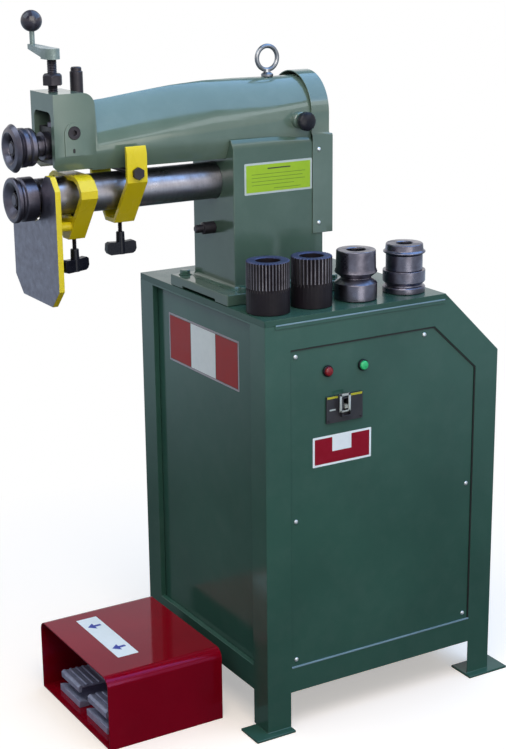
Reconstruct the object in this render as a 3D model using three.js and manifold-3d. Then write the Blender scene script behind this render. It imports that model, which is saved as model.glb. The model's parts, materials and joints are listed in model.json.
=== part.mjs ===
// Sheet metal crimper: a motor driven rotary machine on a steel cabinet, with a pedal box beside it.
// Millimetres, +Z up. The operator stands at -Y, the control panel faces +X, and x = 0 is the
// middle of the cabinet. While it is built, y = 0 is the cabinet's front face and z = 0 the floor.
import * as THREE from 'three';
import { mergeVertices } from 'three/addons/utils/BufferGeometryUtils.js';
import Module from 'manifold-3d';

const wasm = await Module();
wasm.setup();

// Clearances
const seatGap = 0.3;
const runningGap = 0.06;
const slidingGap = 0.4;
const roundSides = 20;
const smallSides = 16;
const hiddenSides = 12;
const bendSteps = 6;

// Cabinet
const cabinetWidth = 510;
const cabinetDepth = 557;
const cabinetHeight = 855;
const topFlatDepth = 420;
const rearWallHeight = 721;
const sheet = 3;
const topPlate = 12;
const legWidth = 55;
const legHeight = 80;
const lowerRail = 53;
const footThickness = 5;
const footWidth = 65;
const footSide = 17;
const footFront = 35;
const footRear = 39;
const footRearInner = 6;
const panelSheet = 2;
const panelLap = 12;
const panelRearBorder = 56;
const panelTopBorder = 52;
const panelChamferRise = 99;
const panelChamferRun = 107;
const recessDepth = 12;
const recessBorder = 56;
const recessTop = 5;
const frontPanelLap = 10;
const frontPanelLapLow = 8;
const louvreCount = 8;
const louvrePitch = 22;
const louvreLength = 180;
const louvreSlot = 6;
const louvreFromTop = 90;

// Drive inside the cabinet
const shelfHeight = 300;
const shelfThickness = 6;
const shelfLip = 36;
const gearboxWidth = 140;
const gearboxLength = 120;
const gearboxHeight = 180;
const outputHeight = 110;
const outputRadius = 15;
const outputBoreDepth = 40;
const motorRadius = 75;
const motorLength = 210;
const motorFootWidth = 120;
const motorFootShort = 30;
const motorFootRise = 12;
const finCount = 4;
const finPitch = 40;
const finWidth = 4;
const finHeight = 6;
const firstFin = 30;
const chainWidth = 12;
const chainThickness = 8;
const driverRadius = 26;
const drivenRadius = 34;
const chainPlane = 120;
const chainSideGap = 1;
const sprocketHubWall = 9;
const sprocketHubLength = 16;

// Machine frame on the cabinet
const baseHalfWidth = 117;
const baseLength = 272;
const baseThickness = 22;
const baseRelief = 5;
const baseReliefHalf = 66;
const baseReliefDepth = 25;
const columnHalfWidth = 81;
const columnFront = 38;
const columnDepth = 204;
const columnHeight = 273;
const columnWall = 8;
const shoulderRise = 17;
const shoulderRun = 10;

// Shafts
const lowerAxis = 1082.6;
const shaftSpacing = 94.5;
const shaftRadius = 19;
const stubRadius = 10;
const tubeRadius = 36;
const tubeWall = 9;
const tubeFlange = 3;
const tubeReach = 374;
const gearTeeth = 15;
const gearBacklash = 0.9;
const gearWidth = 10;
const gearFromColumn = 2;

// Upper arm and head
const armUnderside = 1130.5;
const armFlankRise = 30;
const armFlankRun = 15;
const headReach = 316;
const headDepth = 82;
const headHalfWidth = 51;
const headTop = 1274;
const headRearLean = 7;
const headNoseChamfer = 12;
const headCornerRadius = 24;
const armRearEnd = 225;
const armRearHalfWidth = 75;
const armFrontDomeFoot = 1170;
const armFrontDomeTop = 1252;
const armFrontRoundness = 1.35;
const armRearDomeFoot = 1201;
const armRearDomeTop = 1276;
const armRearRoundness = 2;
const armCrown = 11.3;
const armSections = 7;
const armDomeSteps = 12;
const armChannelHalf = 26;
const armChannelRise = 37;
const armFloor = 11;
const windowHalfWidth = 38;
const windowTop = 1241;
const windowCorner = 14;

// Bearing block, pressure screw and crank
const blockRise = 34;
const blockDepth = 64;
const blockFromFace = 9;
const screwRadius = 9;
const screwCover = 2.7;
const screwFromFace = 23.5;
const padRadius = 13;
const padThickness = 8;
const collarAcrossFlats = 33;
const collarThickness = 21;
const collarNeck = 5;
const collarAboveHead = 12;
const crankAboveHead = 58.5;
const crankHub = 34;
const crankHubWidth = 28;
const crankThickness = 19;
const crankThrow = 85;
const crankTipWidth = 14;
const crankTipThickness = 9;
const crankTipRise = 3;
const gripStemRadius = 4.8;
const gripStemLength = 23;
const ballRadius = 19.9;
const ballFlatRadius = 7;
const springPostRadius = 12;
const springPostHeight = 42;
const springCapRadius = 10;
const springCapHeight = 8.5;
const springPostFromFace = 71;
const sidePlugRadius = 12;
const sidePlugHeight = 1203;
const sidePlugFromFace = 39;
const sidePlugSocket = 5;
const sidePlugSocketDepth = 6;
const plugBossHalf = 19;
const plugBossRise = 1.5;
const plugBossFoot = 1162;
const rearBearingWidth = 20;
const rearBearingRadius = 25.6;
const rearBearingCrown = 1.5;
const rearBearingFromBack = 18;

// Forming rolls on the shafts
const rollFront = -385;
const lowerRollRadius = 42;
const lowerRollLength = 42;
const upperRollRadius = 44.4;
const upperRollLength = 46;
const upperCollarRadius = 36;
const rollNutRadius = 15;

// Gauge plate and the two yellow yokes that clamp on the tube
const plateHalfWidth = 102;
const plateThickness = 11;
const plateGap = 1;
const plateTop = 1132;
const plateBottom = 890;
const plateLeftTop = 1096;
const plateCorner = 34;
const hornInner = 60;
const hornCorner = 20;
const hornSideCorner = 24;
const plateSmallCorner = 10;
const notchRadius = 41.5;
const gaugeYokeDepth = 33;
const gaugeYokeCentre = -263;
const gaugeYokeThickness = 9;
const gaugeYokeHalfWidth = 78;
const gaugeYokeRise = 40.5;
const gaugeYokeDrop = 82;
const gaugeYokeFoot = 13;
const gaugeWebDrop = 2;
const gaugeSaddleDrop = 12;
const postRadius = 9;
const postSpacing = 42;
const postDrop = 55;
const rearYokeDepth = 41.5;
const rearYokeCentre = -166.8;
const rearYokeThickness = 8;
const rearYokeHalfWidth = 82;
const rearYokeRise = 91;
const rearYokeDrop = 59;
const rearYokeFoot = 20;
const rearYokeHip = 24;
const yokeLipDrop = 18;
const yokeLipRun = 5;
const crossBoltRadius = 5;
const crossBoltHeadRadius = 12;
const crossBoltHeadHeight = 8;
const crossBoltNutRadius = 10;
const wingStemRadius = 4.25;
const wingStemShow = 21;
const wingHubRadius = 8;
const wingHubLength = 19.5;
const wingSpan = 62;
const wingHeight = 24;
const wingThickness = 14;
const wingCorner = 8;
const gaugeWingTurn = 20;

// Gear cover
const coverSheet = 2;
const coverFront = 217;
const coverUpperRear = 258;
const coverLowerRear = 264;
const coverTop = 1285;
const coverArchRadius = 79;
const coverStep = 1166;
const coverShoulder = 4;
const coverBottom = 970;

// Small fittings
const eyeRingRadius = 23;
const eyeWireRadius = 4.5;
const eyeFootRadius = 12;
const eyeStemRadius = 6;
const eyeStemRise = 12;
const eyeRingFacets = 6;
const eyePlace = 164;
const alignKnobPlace = 191;
const alignKnobHeight = 1195.5;
const alignKnobRadius = 18.5;
const alignKnobLength = 16;
const alignNeckRadius = 9;
const alignNeckLength = 9;
const alignStudRadius = 5.5;
const alignBossRadius = 16.5;
const alignBossRise = 9;
const lockStudBelowTube = 57.6;
const lockStudRadius = 12;
const lockStudFlange = 25;
const lockStudNeckRadius = 8;
const lockStudLength = 42;
const redButtonPlace = 141.3;
const greenButtonPlace = 223.3;
const buttonHeight = 738;
const buttonRadius = 9;
const bezelRadius = 11.5;
const bezelReach = 5;
const buttonReach = 10;
const buttonDepth = 12;
const switchFront = 137.3;
const switchRear = 221.3;
const switchBottom = 632;
const switchTop = 686;
const switchPlate = 4;
const switchDepth = 34;
const switchRim = 8;
const guardHalfWidth = 11;
const guardHalfHeight = 20;
const guardWall = 3;
const guardReach = 8;
const leverAboveMiddle = 4;
const leverHalfWidth = 4;
const leverHalfHeight = 3.5;
const leverReach = 7;
const leverPivotDepth = 8;
const leverPivotRadius = 4;
const leverPivotHalf = 4.7;
const leverSlotHalfWidth = 5;
const leverSlotHalfHeight = 13;
const leverSlotDepth = 14;

// Spare rolls on storage pegs
const pegRadius = 12;
const pegHeight = 60;
const spareFromEdge = 65;
const crimpPlaces = [47, 145];
const crimpRadii = [42, 40];
const crimpHeights = [100, 98];
const crimpFlutes = [40, 32];
const crimpBore = 24;
const fluteDepth = 3;
const fluteShare = 0.53;
const fluteLand = 0.4;
const stackPlaces = [248, 364];
const beadBore = 19;
const ringBore = 16.5;

// Pedal box on the floor
const boxWidth = 326;
const boxDepth = 256;
const boxHeight = 154;
const boxSheet = 3;
const boxBend = 21;
const boxX = -20;
const boxRearToCabinet = 40.5;
const pedalCentre = -29;
const pedalWidth = 97;
const pedalPitch = 131;
const pedalLength = 150;
const pedalFromMouth = 22;
const pedalBaseHeight = 14;
const pedalHingeHeight = 34;
const pedalRise = 46;
const pedalPlate = 5;
const pedalHingeRadius = 5;
const knuckleWall = 4;
const earThickness = 5;
const earHalfFoot = 14;
const earHalfTop = 9;
const baseFloorRear = 10;
const baseFloorFront = 7;
const baseToeLength = 30;
const baseLipLength = 6;
const treadleLip = 15;
const ribCount = 9;
const ribPitch = 14;
const ribHeight = 2.2;
const ribWidth = 4;

// Places worked out from the sizes above
const upperAxis = lowerAxis + shaftSpacing;
const headFront = -headReach;
const baseTop = cabinetHeight + seatGap + baseThickness;
const columnBottom = baseTop + seatGap;
const columnTop = columnBottom + columnHeight;
const columnRear = columnFront + columnDepth;
const tubeFront = columnFront - tubeReach;
const gearFront = columnRear + gearFromColumn;
const gearRear = gearFront + gearWidth;
const tiltPlace = columnRear - rearBearingFromBack;
const plateFront = rollFront + lowerRollLength + plateGap;
const plateRear = plateFront + plateThickness;
const blockFront = headFront + blockFromFace;
const blockRear = blockFront + blockDepth;
const screwPlace = headFront + screwFromFace;
const padBottom = upperAxis + blockRise + seatGap;
const screwBottom = padBottom + padThickness + seatGap;
const crankBottom = headTop + crankAboveHead;
const crankTop = crankBottom + crankThickness;
const crankTipTop = crankTop + crankTipRise;
const shelfTop = shelfHeight + shelfThickness;
const outputAxis = shelfTop + seatGap + outputHeight;
const spareLine = cabinetWidth / 2 - spareFromEdge;
const panelFace = cabinetWidth / 2 - sheet - seatGap;
const panelFront = legWidth + 2;
const panelBottom = legHeight + lowerRail;
const panelTop = cabinetHeight - topPlate - panelTopBorder;
const panelRear = cabinetDepth - panelRearBorder;
const boxRear = -boxRearToCabinet;
const boxFront = boxRear - boxDepth;
const pedalFront = boxFront + pedalFromMouth;

// Colours and finishes
const finishes = {
  cabinetGreen: [0x3b5750, 0.35, 0.3],
  machineGreen: [0x6d8377, 0.35, 0.3],
  yellowPaint: [0xcbb81c, 0.4, 0.2],
  redPaint: [0x6e0716, 0.3, 0.3],
  steel: [0x6b6a72, 0.35, 0.9],
  blackOxide: [0x2a2729, 0.45, 0.7],
  castGrey: [0x5d6063, 0.6, 0.7],
  blackPlastic: [0x1c1b20, 0.35, 0.0],
  greyCasting: [0xa9b4b4, 0.4, 0.6],
  redLens: [0x8c0f20, 0.25, 0.0],
  greenLens: [0x35c07a, 0.25, 0.0],
  bronze: [0xa7834a, 0.4, 0.8],
  motorGrey: [0x59626a, 0.5, 0.3],
  pedalGrey: [0x70748c, 0.45, 0.6],
};

const machine = new THREE.Group();
const scene = new THREE.Group();
scene.add(machine);

function finish(name) {
  const [color, roughness, metalness] = finishes[name];
  return new THREE.MeshStandardMaterial({ color, roughness, metalness });
}

function show(name, shape, finishName) {
  const mesh = new THREE.Mesh(geometryOf(shape), finish(finishName));
  mesh.name = name;
  machine.add(mesh);
  return mesh;
}

// A closed three.js geometry becomes a solid: shared corners are merged and flat triangles dropped.
function solid(geometry) {
  const bare = geometry.clone();
  bare.deleteAttribute('normal');
  bare.deleteAttribute('uv');
  const merged = mergeVertices(bare, 1e-4);
  const points = merged.attributes.position;
  const faces = [];
  let volume = 0;
  const a = new THREE.Vector3();
  const b = new THREE.Vector3();
  const c = new THREE.Vector3();
  for (let i = 0; i < merged.index.count; i += 3) {
    const corners = [0, 1, 2].map((k) => merged.index.getX(i + k));
    if (new Set(corners).size < 3) continue;
    faces.push(corners);
    a.fromBufferAttribute(points, corners[0]);
    b.fromBufferAttribute(points, corners[1]);
    c.fromBufferAttribute(points, corners[2]);
    volume += a.dot(b.cross(c));
  }
  const triVerts = new Uint32Array(faces.flatMap(([p, q, r]) => (volume < 0 ? [p, r, q] : [p, q, r])));
  const vertProperties = new Float32Array(points.array);
  return new wasm.Manifold(new wasm.Mesh({ numProp: 3, vertProperties, triVerts }));
}

function geometryOf(shape) {
  const mesh = shape.getMesh();
  const geometry = new THREE.BufferGeometry();
  geometry.setAttribute('position', new THREE.BufferAttribute(new Float32Array(mesh.vertProperties), 3));
  geometry.setIndex(new THREE.BufferAttribute(new Uint32Array(mesh.triVerts), 1));
  geometry.computeVertexNormals();
  return geometry;
}

// A box between two limits on each axis
function box([x0, x1], [y0, y1], [z0, z1]) {
  const geometry = new THREE.BoxGeometry(x1 - x0, y1 - y0, z1 - z0);
  geometry.translate((x0 + x1) / 2, (y0 + y1) / 2, (z0 + z1) / 2);
  return solid(geometry);
}

function outline(points) {
  return new THREE.Shape(points.map(([u, v]) => new THREE.Vector2(u, v)));
}

function extruded(shape, depth, curveSegments = 12) {
  return new THREE.ExtrudeGeometry(shape, { depth, bevelEnabled: false, curveSegments });
}

// A section drawn in x and z, swept along y
function alongY(shape, y0, y1, curveSegments) {
  const geometry = extruded(shape, y1 - y0, curveSegments);
  geometry.rotateX(Math.PI / 2);
  geometry.translate(0, y1, 0);
  return solid(geometry);
}

// A section drawn in y and z, swept along x
function alongX(shape, x0, x1) {
  const geometry = extruded(shape, x1 - x0);
  const turn = new THREE.Matrix4().makeBasis(
    new THREE.Vector3(0, 1, 0),
    new THREE.Vector3(0, 0, 1),
    new THREE.Vector3(1, 0, 0),
  );
  geometry.applyMatrix4(turn);
  geometry.translate(x0, 0, 0);
  return solid(geometry);
}

// A plan drawn in x and y, swept up z
function alongZ(shape, z0, z1) {
  const geometry = extruded(shape, z1 - z0);
  geometry.translate(0, 0, z0);
  return solid(geometry);
}

// A round bar on the y axis line through x and z; a bore is opened so that its flats clear the shaft
function barY(radius, y0, y1, x, z, sides = roundSides) {
  const geometry = new THREE.CylinderGeometry(radius, radius, y1 - y0, sides);
  geometry.translate(x, (y0 + y1) / 2, z);
  return solid(geometry);
}

function barX(radius, x0, x1, y, z, sides = roundSides) {
  const geometry = new THREE.CylinderGeometry(radius, radius, x1 - x0, sides);
  geometry.rotateZ(Math.PI / 2);
  geometry.translate((x0 + x1) / 2, y, z);
  return solid(geometry);
}

function barZ(radius, z0, z1, x, y, sides = roundSides) {
  const geometry = new THREE.CylinderGeometry(radius, radius, z1 - z0, sides);
  geometry.rotateX(Math.PI / 2);
  geometry.translate(x, y, (z0 + z1) / 2);
  return solid(geometry);
}

function boreRadius(shaft, gap, sides = roundSides) {
  return (shaft + gap) / Math.cos(Math.PI / sides);
}

// A turned piece: [radius, place along the axis] pairs, closed by the caller where it has a bore
function turnedY(profile, x, y, z, sides = roundSides) {
  const geometry = new THREE.LatheGeometry(profile.map(([r, t]) => new THREE.Vector2(r, t)), sides);
  geometry.translate(x, y, z);
  return solid(geometry);
}

function turnedZ(profile, x, y, z, sides = roundSides) {
  const geometry = new THREE.LatheGeometry(profile.map(([r, t]) => new THREE.Vector2(r, t)), sides);
  geometry.rotateX(Math.PI / 2);
  geometry.translate(x, y, z);
  return solid(geometry);
}

function turnedX(profile, x, y, z, sides = roundSides) {
  const geometry = new THREE.LatheGeometry(profile.map(([r, t]) => new THREE.Vector2(r, t)), sides);
  geometry.rotateZ(-Math.PI / 2);
  geometry.translate(x, y, z);
  return solid(geometry);
}

function union(shapes) {
  return shapes.reduce((whole, shape) => whole.add(shape));
}

function cut(shape, tools) {
  return tools.reduce((rest, tool) => rest.subtract(tool), shape);
}

// Cabinet side outline at a distance inside the outer faces
function cabinetSide(inset, top) {
  const slope = (cabinetHeight - rearWallHeight) / (cabinetDepth - topFlatDepth);
  const lean = Math.hypot(1, slope);
  const chamferAt = (z) => topFlatDepth + (cabinetHeight - z - inset * lean) / slope;
  const rear = cabinetDepth - inset;
  const rearTop = cabinetHeight - inset * lean - slope * (rear - topFlatDepth);
  return [[inset, footThickness], [rear, footThickness], [rear, rearTop], [chamferAt(top), top], [inset, top]];
}

// Outline of the openings in the cabinet's sides, smaller by a given border
function sidePanelOutline(border) {
  return outline([
    [panelFront + border, panelBottom + border],
    [panelRear - border, panelBottom + border],
    [panelRear - border, panelTop - panelChamferRise - border / 2],
    [panelRear - panelChamferRun - border / 2, panelTop - border],
    [panelFront + border, panelTop - border],
  ]);
}

const chainSlotHalf = drivenRadius + chainThickness + 8;
const chainSlotFront = chainPlane - chainWidth;
const chainSlotRear = chainPlane + chainWidth;

function cabinetShell() {
  const half = cabinetWidth / 2;
  const shellTop = cabinetHeight - topPlate - seatGap;
  const outer = alongX(outline(cabinetSide(0, shellTop)), -half, half);
  const inner = alongX(outline(cabinetSide(sheet, shellTop - sheet)), -half + sheet, half - sheet);
  const bottom = box([-half + sheet, half - sheet], [sheet, cabinetDepth - sheet], [0, footThickness + 1]);
  const recessHalf = half - recessBorder;
  const recessFloor = panelBottom;
  const recessRoof = shellTop - recessTop;
  const recess = box([-recessHalf, recessHalf], [-1, recessDepth + 1], [recessFloor, recessRoof]);
  const returnFrame = box(
    [-recessHalf - sheet, recessHalf + sheet], [sheet / 2, recessDepth],
    [recessFloor - sheet, recessRoof + sheet]);
  const sideOpening = alongX(sidePanelOutline(0), -half - 1, half + 1);
  const rearOpening = box(
    [-half + recessBorder + panelLap, half - recessBorder - panelLap],
    [cabinetDepth - sheet - 1, cabinetDepth + 1],
    [panelBottom + panelLap, rearWallHeight - panelTopBorder - panelLap]);
  const chainSlot = box(
    [-chainSlotHalf, chainSlotHalf], [chainSlotFront, chainSlotRear], [shellTop - 2 * sheet, shellTop + 1]);
  const underSides = box([-half - 1, half + 1], [legWidth, cabinetDepth - legWidth], [0, legHeight]);
  const underEnds = box([-half + legWidth, half - legWidth], [-1, cabinetDepth + 1], [0, legHeight]);
  const hollow = cut(outer, [inner, bottom]).add(returnFrame);
  const body = cut(hollow, [recess, sideOpening, rearOpening, chainSlot, underSides, underEnds]);
  const feet = [];
  for (const side of [-1, 1]) {
    const outside = side * (half + footSide);
    const inside = outside - side * footWidth;
    const acrossX = [Math.min(inside, outside), Math.max(inside, outside)];
    const frontFoot = [-footFront, legWidth];
    const rearFoot = [cabinetDepth - legWidth - footRearInner, cabinetDepth + footRear];
    feet.push(box(acrossX, frontFoot, [0, footThickness]));
    feet.push(box(acrossX, rearFoot, [0, footThickness]));
  }
  return union([body, ...feet]);
}

function cabinetTop() {
  const half = cabinetWidth / 2;
  const slope = (cabinetDepth - topFlatDepth) / (cabinetHeight - rearWallHeight);
  const plate = alongX(outline([
    [0, cabinetHeight - topPlate],
    [topFlatDepth + topPlate * slope, cabinetHeight - topPlate],
    [topFlatDepth, cabinetHeight],
    [0, cabinetHeight],
  ]), -half, half);
  const slot = box(
    [-chainSlotHalf, chainSlotHalf], [chainSlotFront, chainSlotRear],
    [cabinetHeight - topPlate - 1, cabinetHeight + 1]);
  const pegs = [...crimpPlaces, ...stackPlaces].map(
    (place) => barZ(pegRadius, cabinetHeight - 1, cabinetHeight + pegHeight, spareLine, place, hiddenSides));
  return union([cut(plate, [slot]), ...pegs]);
}

function frontPanel() {
  const half = cabinetWidth / 2 - recessBorder + frontPanelLap;
  const front = recessDepth + seatGap;
  const low = panelBottom - frontPanelLapLow;
  return box([-half, half], [front, front + panelSheet], [low, cabinetHeight - topPlate - recessTop]);
}

// The side panels are screwed up from behind the cabinet's skin, so each lies in a shallow recess
function sidePanel(side) {
  const inner = side * (panelFace - panelSheet);
  const outer = side * panelFace;
  const plate = alongX(sidePanelOutline(-panelLap), Math.min(inner, outer), Math.max(inner, outer));
  if (side < 0) return plate;
  const bore = boreRadius(buttonRadius, slidingGap, smallSides);
  const holes = [redButtonPlace, greenButtonPlace].map(
    (place) => barX(bore, inner - 1, outer + 1, place, buttonHeight, smallSides));
  const rim = switchRim;
  const switchHole = box(
    [inner - 1, outer + 1], [switchFront + rim, switchRear - rim], [switchBottom + rim, switchTop - rim]);
  return cut(plate, [...holes, switchHole]);
}

function rearPanel() {
  const half = cabinetWidth / 2 - recessBorder;
  const front = cabinetDepth + seatGap;
  const top = rearWallHeight - panelTopBorder;
  const plate = box([-half, half], [front, front + panelSheet], [panelBottom, top]);
  const louvres = [];
  for (let i = 0; i < louvreCount; i += 1) {
    const low = top - louvreFromTop - i * louvrePitch;
    louvres.push(box(
      [-louvreLength / 2, louvreLength / 2], [front - 1, front + panelSheet + 1], [low, low + louvreSlot]));
  }
  return cut(plate, louvres);
}

function motorShelf() {
  const half = panelFace - panelSheet - seatGap;
  const front = recessDepth + panelSheet + 2;
  const rear = cabinetDepth - sheet - seatGap;
  const plate = box([-half, half], [front, rear], [shelfHeight, shelfTop]);
  const lipLow = shelfTop - shelfLip;
  const frontLip = box([-half, half], [front, front + shelfThickness], [lipLow, shelfTop]);
  const rearLip = box([-half, half], [rear - shelfThickness, rear], [lipLow, shelfTop]);
  return union([plate, frontLip, rearLip]);
}

const gearboxFront = chainPlane + chainWidth / 2 + 12;

function gearMotor() {
  const bottom = shelfTop + seatGap;
  const rear = gearboxFront + gearboxLength;
  const gearbox = box(
    [-gearboxWidth / 2, gearboxWidth / 2], [gearboxFront, rear], [bottom, bottom + gearboxHeight]);
  const motor = barY(motorRadius, rear - 1, rear + motorLength, 0, outputAxis, hiddenSides);
  const fins = [];
  for (let i = 0; i < finCount; i += 1) {
    const place = rear + firstFin + i * finPitch;
    fins.push(barY(motorRadius + finHeight, place, place + finWidth, 0, outputAxis, hiddenSides));
  }
  const foot = box(
    [-motorFootWidth / 2, motorFootWidth / 2], [rear - 1, rear + motorLength - motorFootShort],
    [bottom, outputAxis - motorRadius + motorFootRise]);
  const bore = barY(boreRadius(outputRadius, runningGap, hiddenSides), gearboxFront - 1,
    gearboxFront + outputBoreDepth, 0, outputAxis, hiddenSides);
  return cut(union([gearbox, motor, foot, ...fins]), [bore]);
}

function motorSprocket() {
  const rim = chainWidth / 2 - chainSideGap;
  const wheel = barY(driverRadius, chainPlane - rim, chainPlane + rim, 0, outputAxis, smallSides);
  const shaft = barY(
    outputRadius, chainPlane - chainWidth, gearboxFront + outputBoreDepth - 1, 0, outputAxis, hiddenSides);
  return wheel.add(shaft);
}

// The chain is one closed band that runs round both wheels with a small gap
function driveChain() {
  const distance = lowerAxis - outputAxis;
  const low = boreRadius(driverRadius, seatGap, smallSides);
  const high = boreRadius(drivenRadius, seatGap, smallSides);
  const band = (grow) => {
    const lean = Math.asin((high - low) / distance);
    const shape = new THREE.Shape();
    shape.absarc(0, outputAxis, low + grow, Math.PI - lean, 2 * Math.PI + lean, false);
    shape.absarc(0, lowerAxis, high + grow, lean, Math.PI - lean, false);
    return shape;
  };
  const front = chainPlane - chainWidth / 2;
  const rear = chainPlane + chainWidth / 2;
  const steps = smallSides / 2;
  return cut(alongY(band(chainThickness), front, rear, steps), [alongY(band(0), front - 1, rear + 1, steps)]);
}

function machineBase() {
  const bottom = cabinetHeight + seatGap;
  const plate = box([-baseHalfWidth, baseHalfWidth], [0, baseLength], [bottom, baseTop]);
  const relief = box(
    [-baseReliefHalf, baseReliefHalf], [-1, baseReliefDepth], [bottom - 1, bottom + baseRelief]);
  const slot = box([-chainSlotHalf, chainSlotHalf], [chainSlotFront, chainSlotRear], [bottom - 1, baseTop + 1]);
  return cut(plate, [relief, slot]);
}

function column() {
  const half = columnHalfWidth;
  const body = alongY(outline([
    [-half, columnBottom],
    [half, columnBottom],
    [half, columnTop],
    [half - shoulderRun, columnTop + shoulderRise],
    [-half + shoulderRun, columnTop + shoulderRise],
    [-half, columnTop],
  ]), columnFront, columnRear);
  const deckUnder = armUnderside - seatGap - columnWall;
  const hollow = box(
    [-half + columnWall, half - columnWall], [columnFront + columnWall, columnRear - columnWall],
    [columnBottom - 1, deckUnder]);
  const pocket = armBody(seatGap, columnRear + 1);
  const tubeHole = barY(tubeRadius + seatGap, columnFront - 1, columnFront + columnWall + 1, 0, lowerAxis);
  const shaftHole = barY(
    boreRadius(shaftRadius, runningGap), columnRear - columnWall - 1, columnRear + 1, 0, lowerAxis);
  const chainRelief = box(
    [-chainSlotHalf, chainSlotHalf], [chainSlotFront, chainSlotRear], [deckUnder - 1, armUnderside]);
  return cut(body, [hollow, pocket, tubeHole, shaftHole, chainRelief]);
}

// How far along the arm a place is, from the back of the head (0) to the arm's rear end (1)
function armShare(y) {
  const front = headFront + headDepth;
  return (y - front) / (armRearEnd - front);
}

function between(front, rear, share) {
  return front + (rear - front) * share;
}

// The arm's top line rises to the rear and is crowned in the middle
function armTopAt(y) {
  const share = armShare(y);
  const crown = Math.max(Math.sin(Math.PI * share), 0) ** 1.5;
  return between(armFrontDomeTop, armRearDomeTop, share) + armCrown * crown;
}

// One cross section of the arm: flat underside, leaning flanks, upright sides and a domed top,
// which is nearly a pointed arch behind the head and round at the rear
function armSection(y, grow) {
  const share = armShare(y);
  const half = between(headHalfWidth, armRearHalfWidth, share) + grow;
  const domeFoot = between(armFrontDomeFoot, armRearDomeFoot, share);
  const rise = armTopAt(y) + grow - domeFoot;
  const power = 2 / between(armFrontRoundness, armRearRoundness, share);
  const under = armUnderside - grow;
  const points = [[-half + armFlankRun, under], [half - armFlankRun, under], [half, under + armFlankRise]];
  for (let i = 0; i <= armDomeSteps; i += 1) {
    const angle = (Math.PI * i) / armDomeSteps;
    const across = Math.sign(Math.cos(angle)) * Math.abs(Math.cos(angle)) ** power;
    points.push([half * across, domeFoot + rise * Math.sin(angle) ** power]);
  }
  points.push([-half, under + armFlankRise]);
  return points.map(([x, z]) => new THREE.Vector3(x, y, z));
}

// Skin through a row of sections that all have the same number of points
function lofted(sections) {
  const count = sections[0].length;
  const geometry = new THREE.BufferGeometry();
  const points = sections.flat();
  const index = [];
  for (let s = 0; s < sections.length - 1; s += 1) {
    for (let i = 0; i < count; i += 1) {
      const next = (i + 1) % count;
      const a = s * count + i;
      const b = s * count + next;
      index.push(a, b, b + count, a, b + count, a + count);
    }
  }
  const cap = (start, flip) => {
    const flat = points.slice(start, start + count).map((p) => new THREE.Vector2(p.x, p.z));
    for (const [a, b, c] of THREE.ShapeUtils.triangulateShape(flat, [])) {
      index.push(start + a, start + (flip ? c : b), start + (flip ? b : c));
    }
  };
  cap(0, true);
  cap((sections.length - 1) * count, false);
  const places = new Float32Array(points.flatMap((p) => [p.x, p.y, p.z]));
  geometry.setAttribute('position', new THREE.BufferAttribute(places, 3));
  geometry.setIndex(index);
  return solid(geometry);
}

function armBody(grow, end) {
  const start = headFront + headDepth - 30;
  const sections = [];
  for (let i = 0; i <= armSections; i += 1) {
    sections.push(armSection(between(start, end, i / armSections), grow));
  }
  return lofted(sections);
}

// The head is an upright block with a leaning back, a rounded top rear corner and the arm's flanks
function headBlock() {
  const rear = headFront + headDepth;
  const w = headHalfWidth;
  const r = headCornerRadius;
  const side = new THREE.Shape();
  side.moveTo(headFront, armUnderside + headNoseChamfer);
  side.lineTo(headFront + headNoseChamfer, armUnderside);
  side.lineTo(rear + headRearLean, armUnderside);
  side.lineTo(rear, headTop - r);
  side.absarc(rear - r, headTop - r, r, 0, Math.PI / 2, false);
  side.lineTo(headFront, headTop);
  side.closePath();
  const section = outline([
    [-w + armFlankRun, armUnderside - 1], [w - armFlankRun, armUnderside - 1], [w, armUnderside + armFlankRise],
    [w, headTop + 1], [-w, headTop + 1], [-w, armUnderside + armFlankRise],
  ]);
  return alongX(side, -w, w).intersect(alongY(section, headFront - 1, rear + headRearLean + 1));
}

// A low arched boss on the head's right side, round the plug
function plugBoss() {
  const place = headFront + sidePlugFromFace;
  const r = plugBossHalf;
  const shape = new THREE.Shape();
  shape.moveTo(place - r, plugBossFoot);
  shape.lineTo(place + r, plugBossFoot);
  shape.lineTo(place + r, sidePlugHeight);
  shape.absarc(place, sidePlugHeight, r, 0, Math.PI, false);
  shape.closePath();
  return alongX(shape, headHalfWidth - 1, headHalfWidth + plugBossRise);
}

// Arched window in the head's face where the bearing block slides up and down
function headWindow() {
  const w = windowHalfWidth;
  const shape = new THREE.Shape();
  shape.moveTo(-w, armUnderside - 1);
  shape.lineTo(w, armUnderside - 1);
  shape.lineTo(w, windowTop - windowCorner);
  shape.absarc(w - windowCorner, windowTop - windowCorner, windowCorner, 0, Math.PI / 2, false);
  shape.absarc(-w + windowCorner, windowTop - windowCorner, windowCorner, Math.PI / 2, Math.PI, false);
  shape.closePath();
  return alongY(shape, headFront - 1, blockRear + 6);
}

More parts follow.
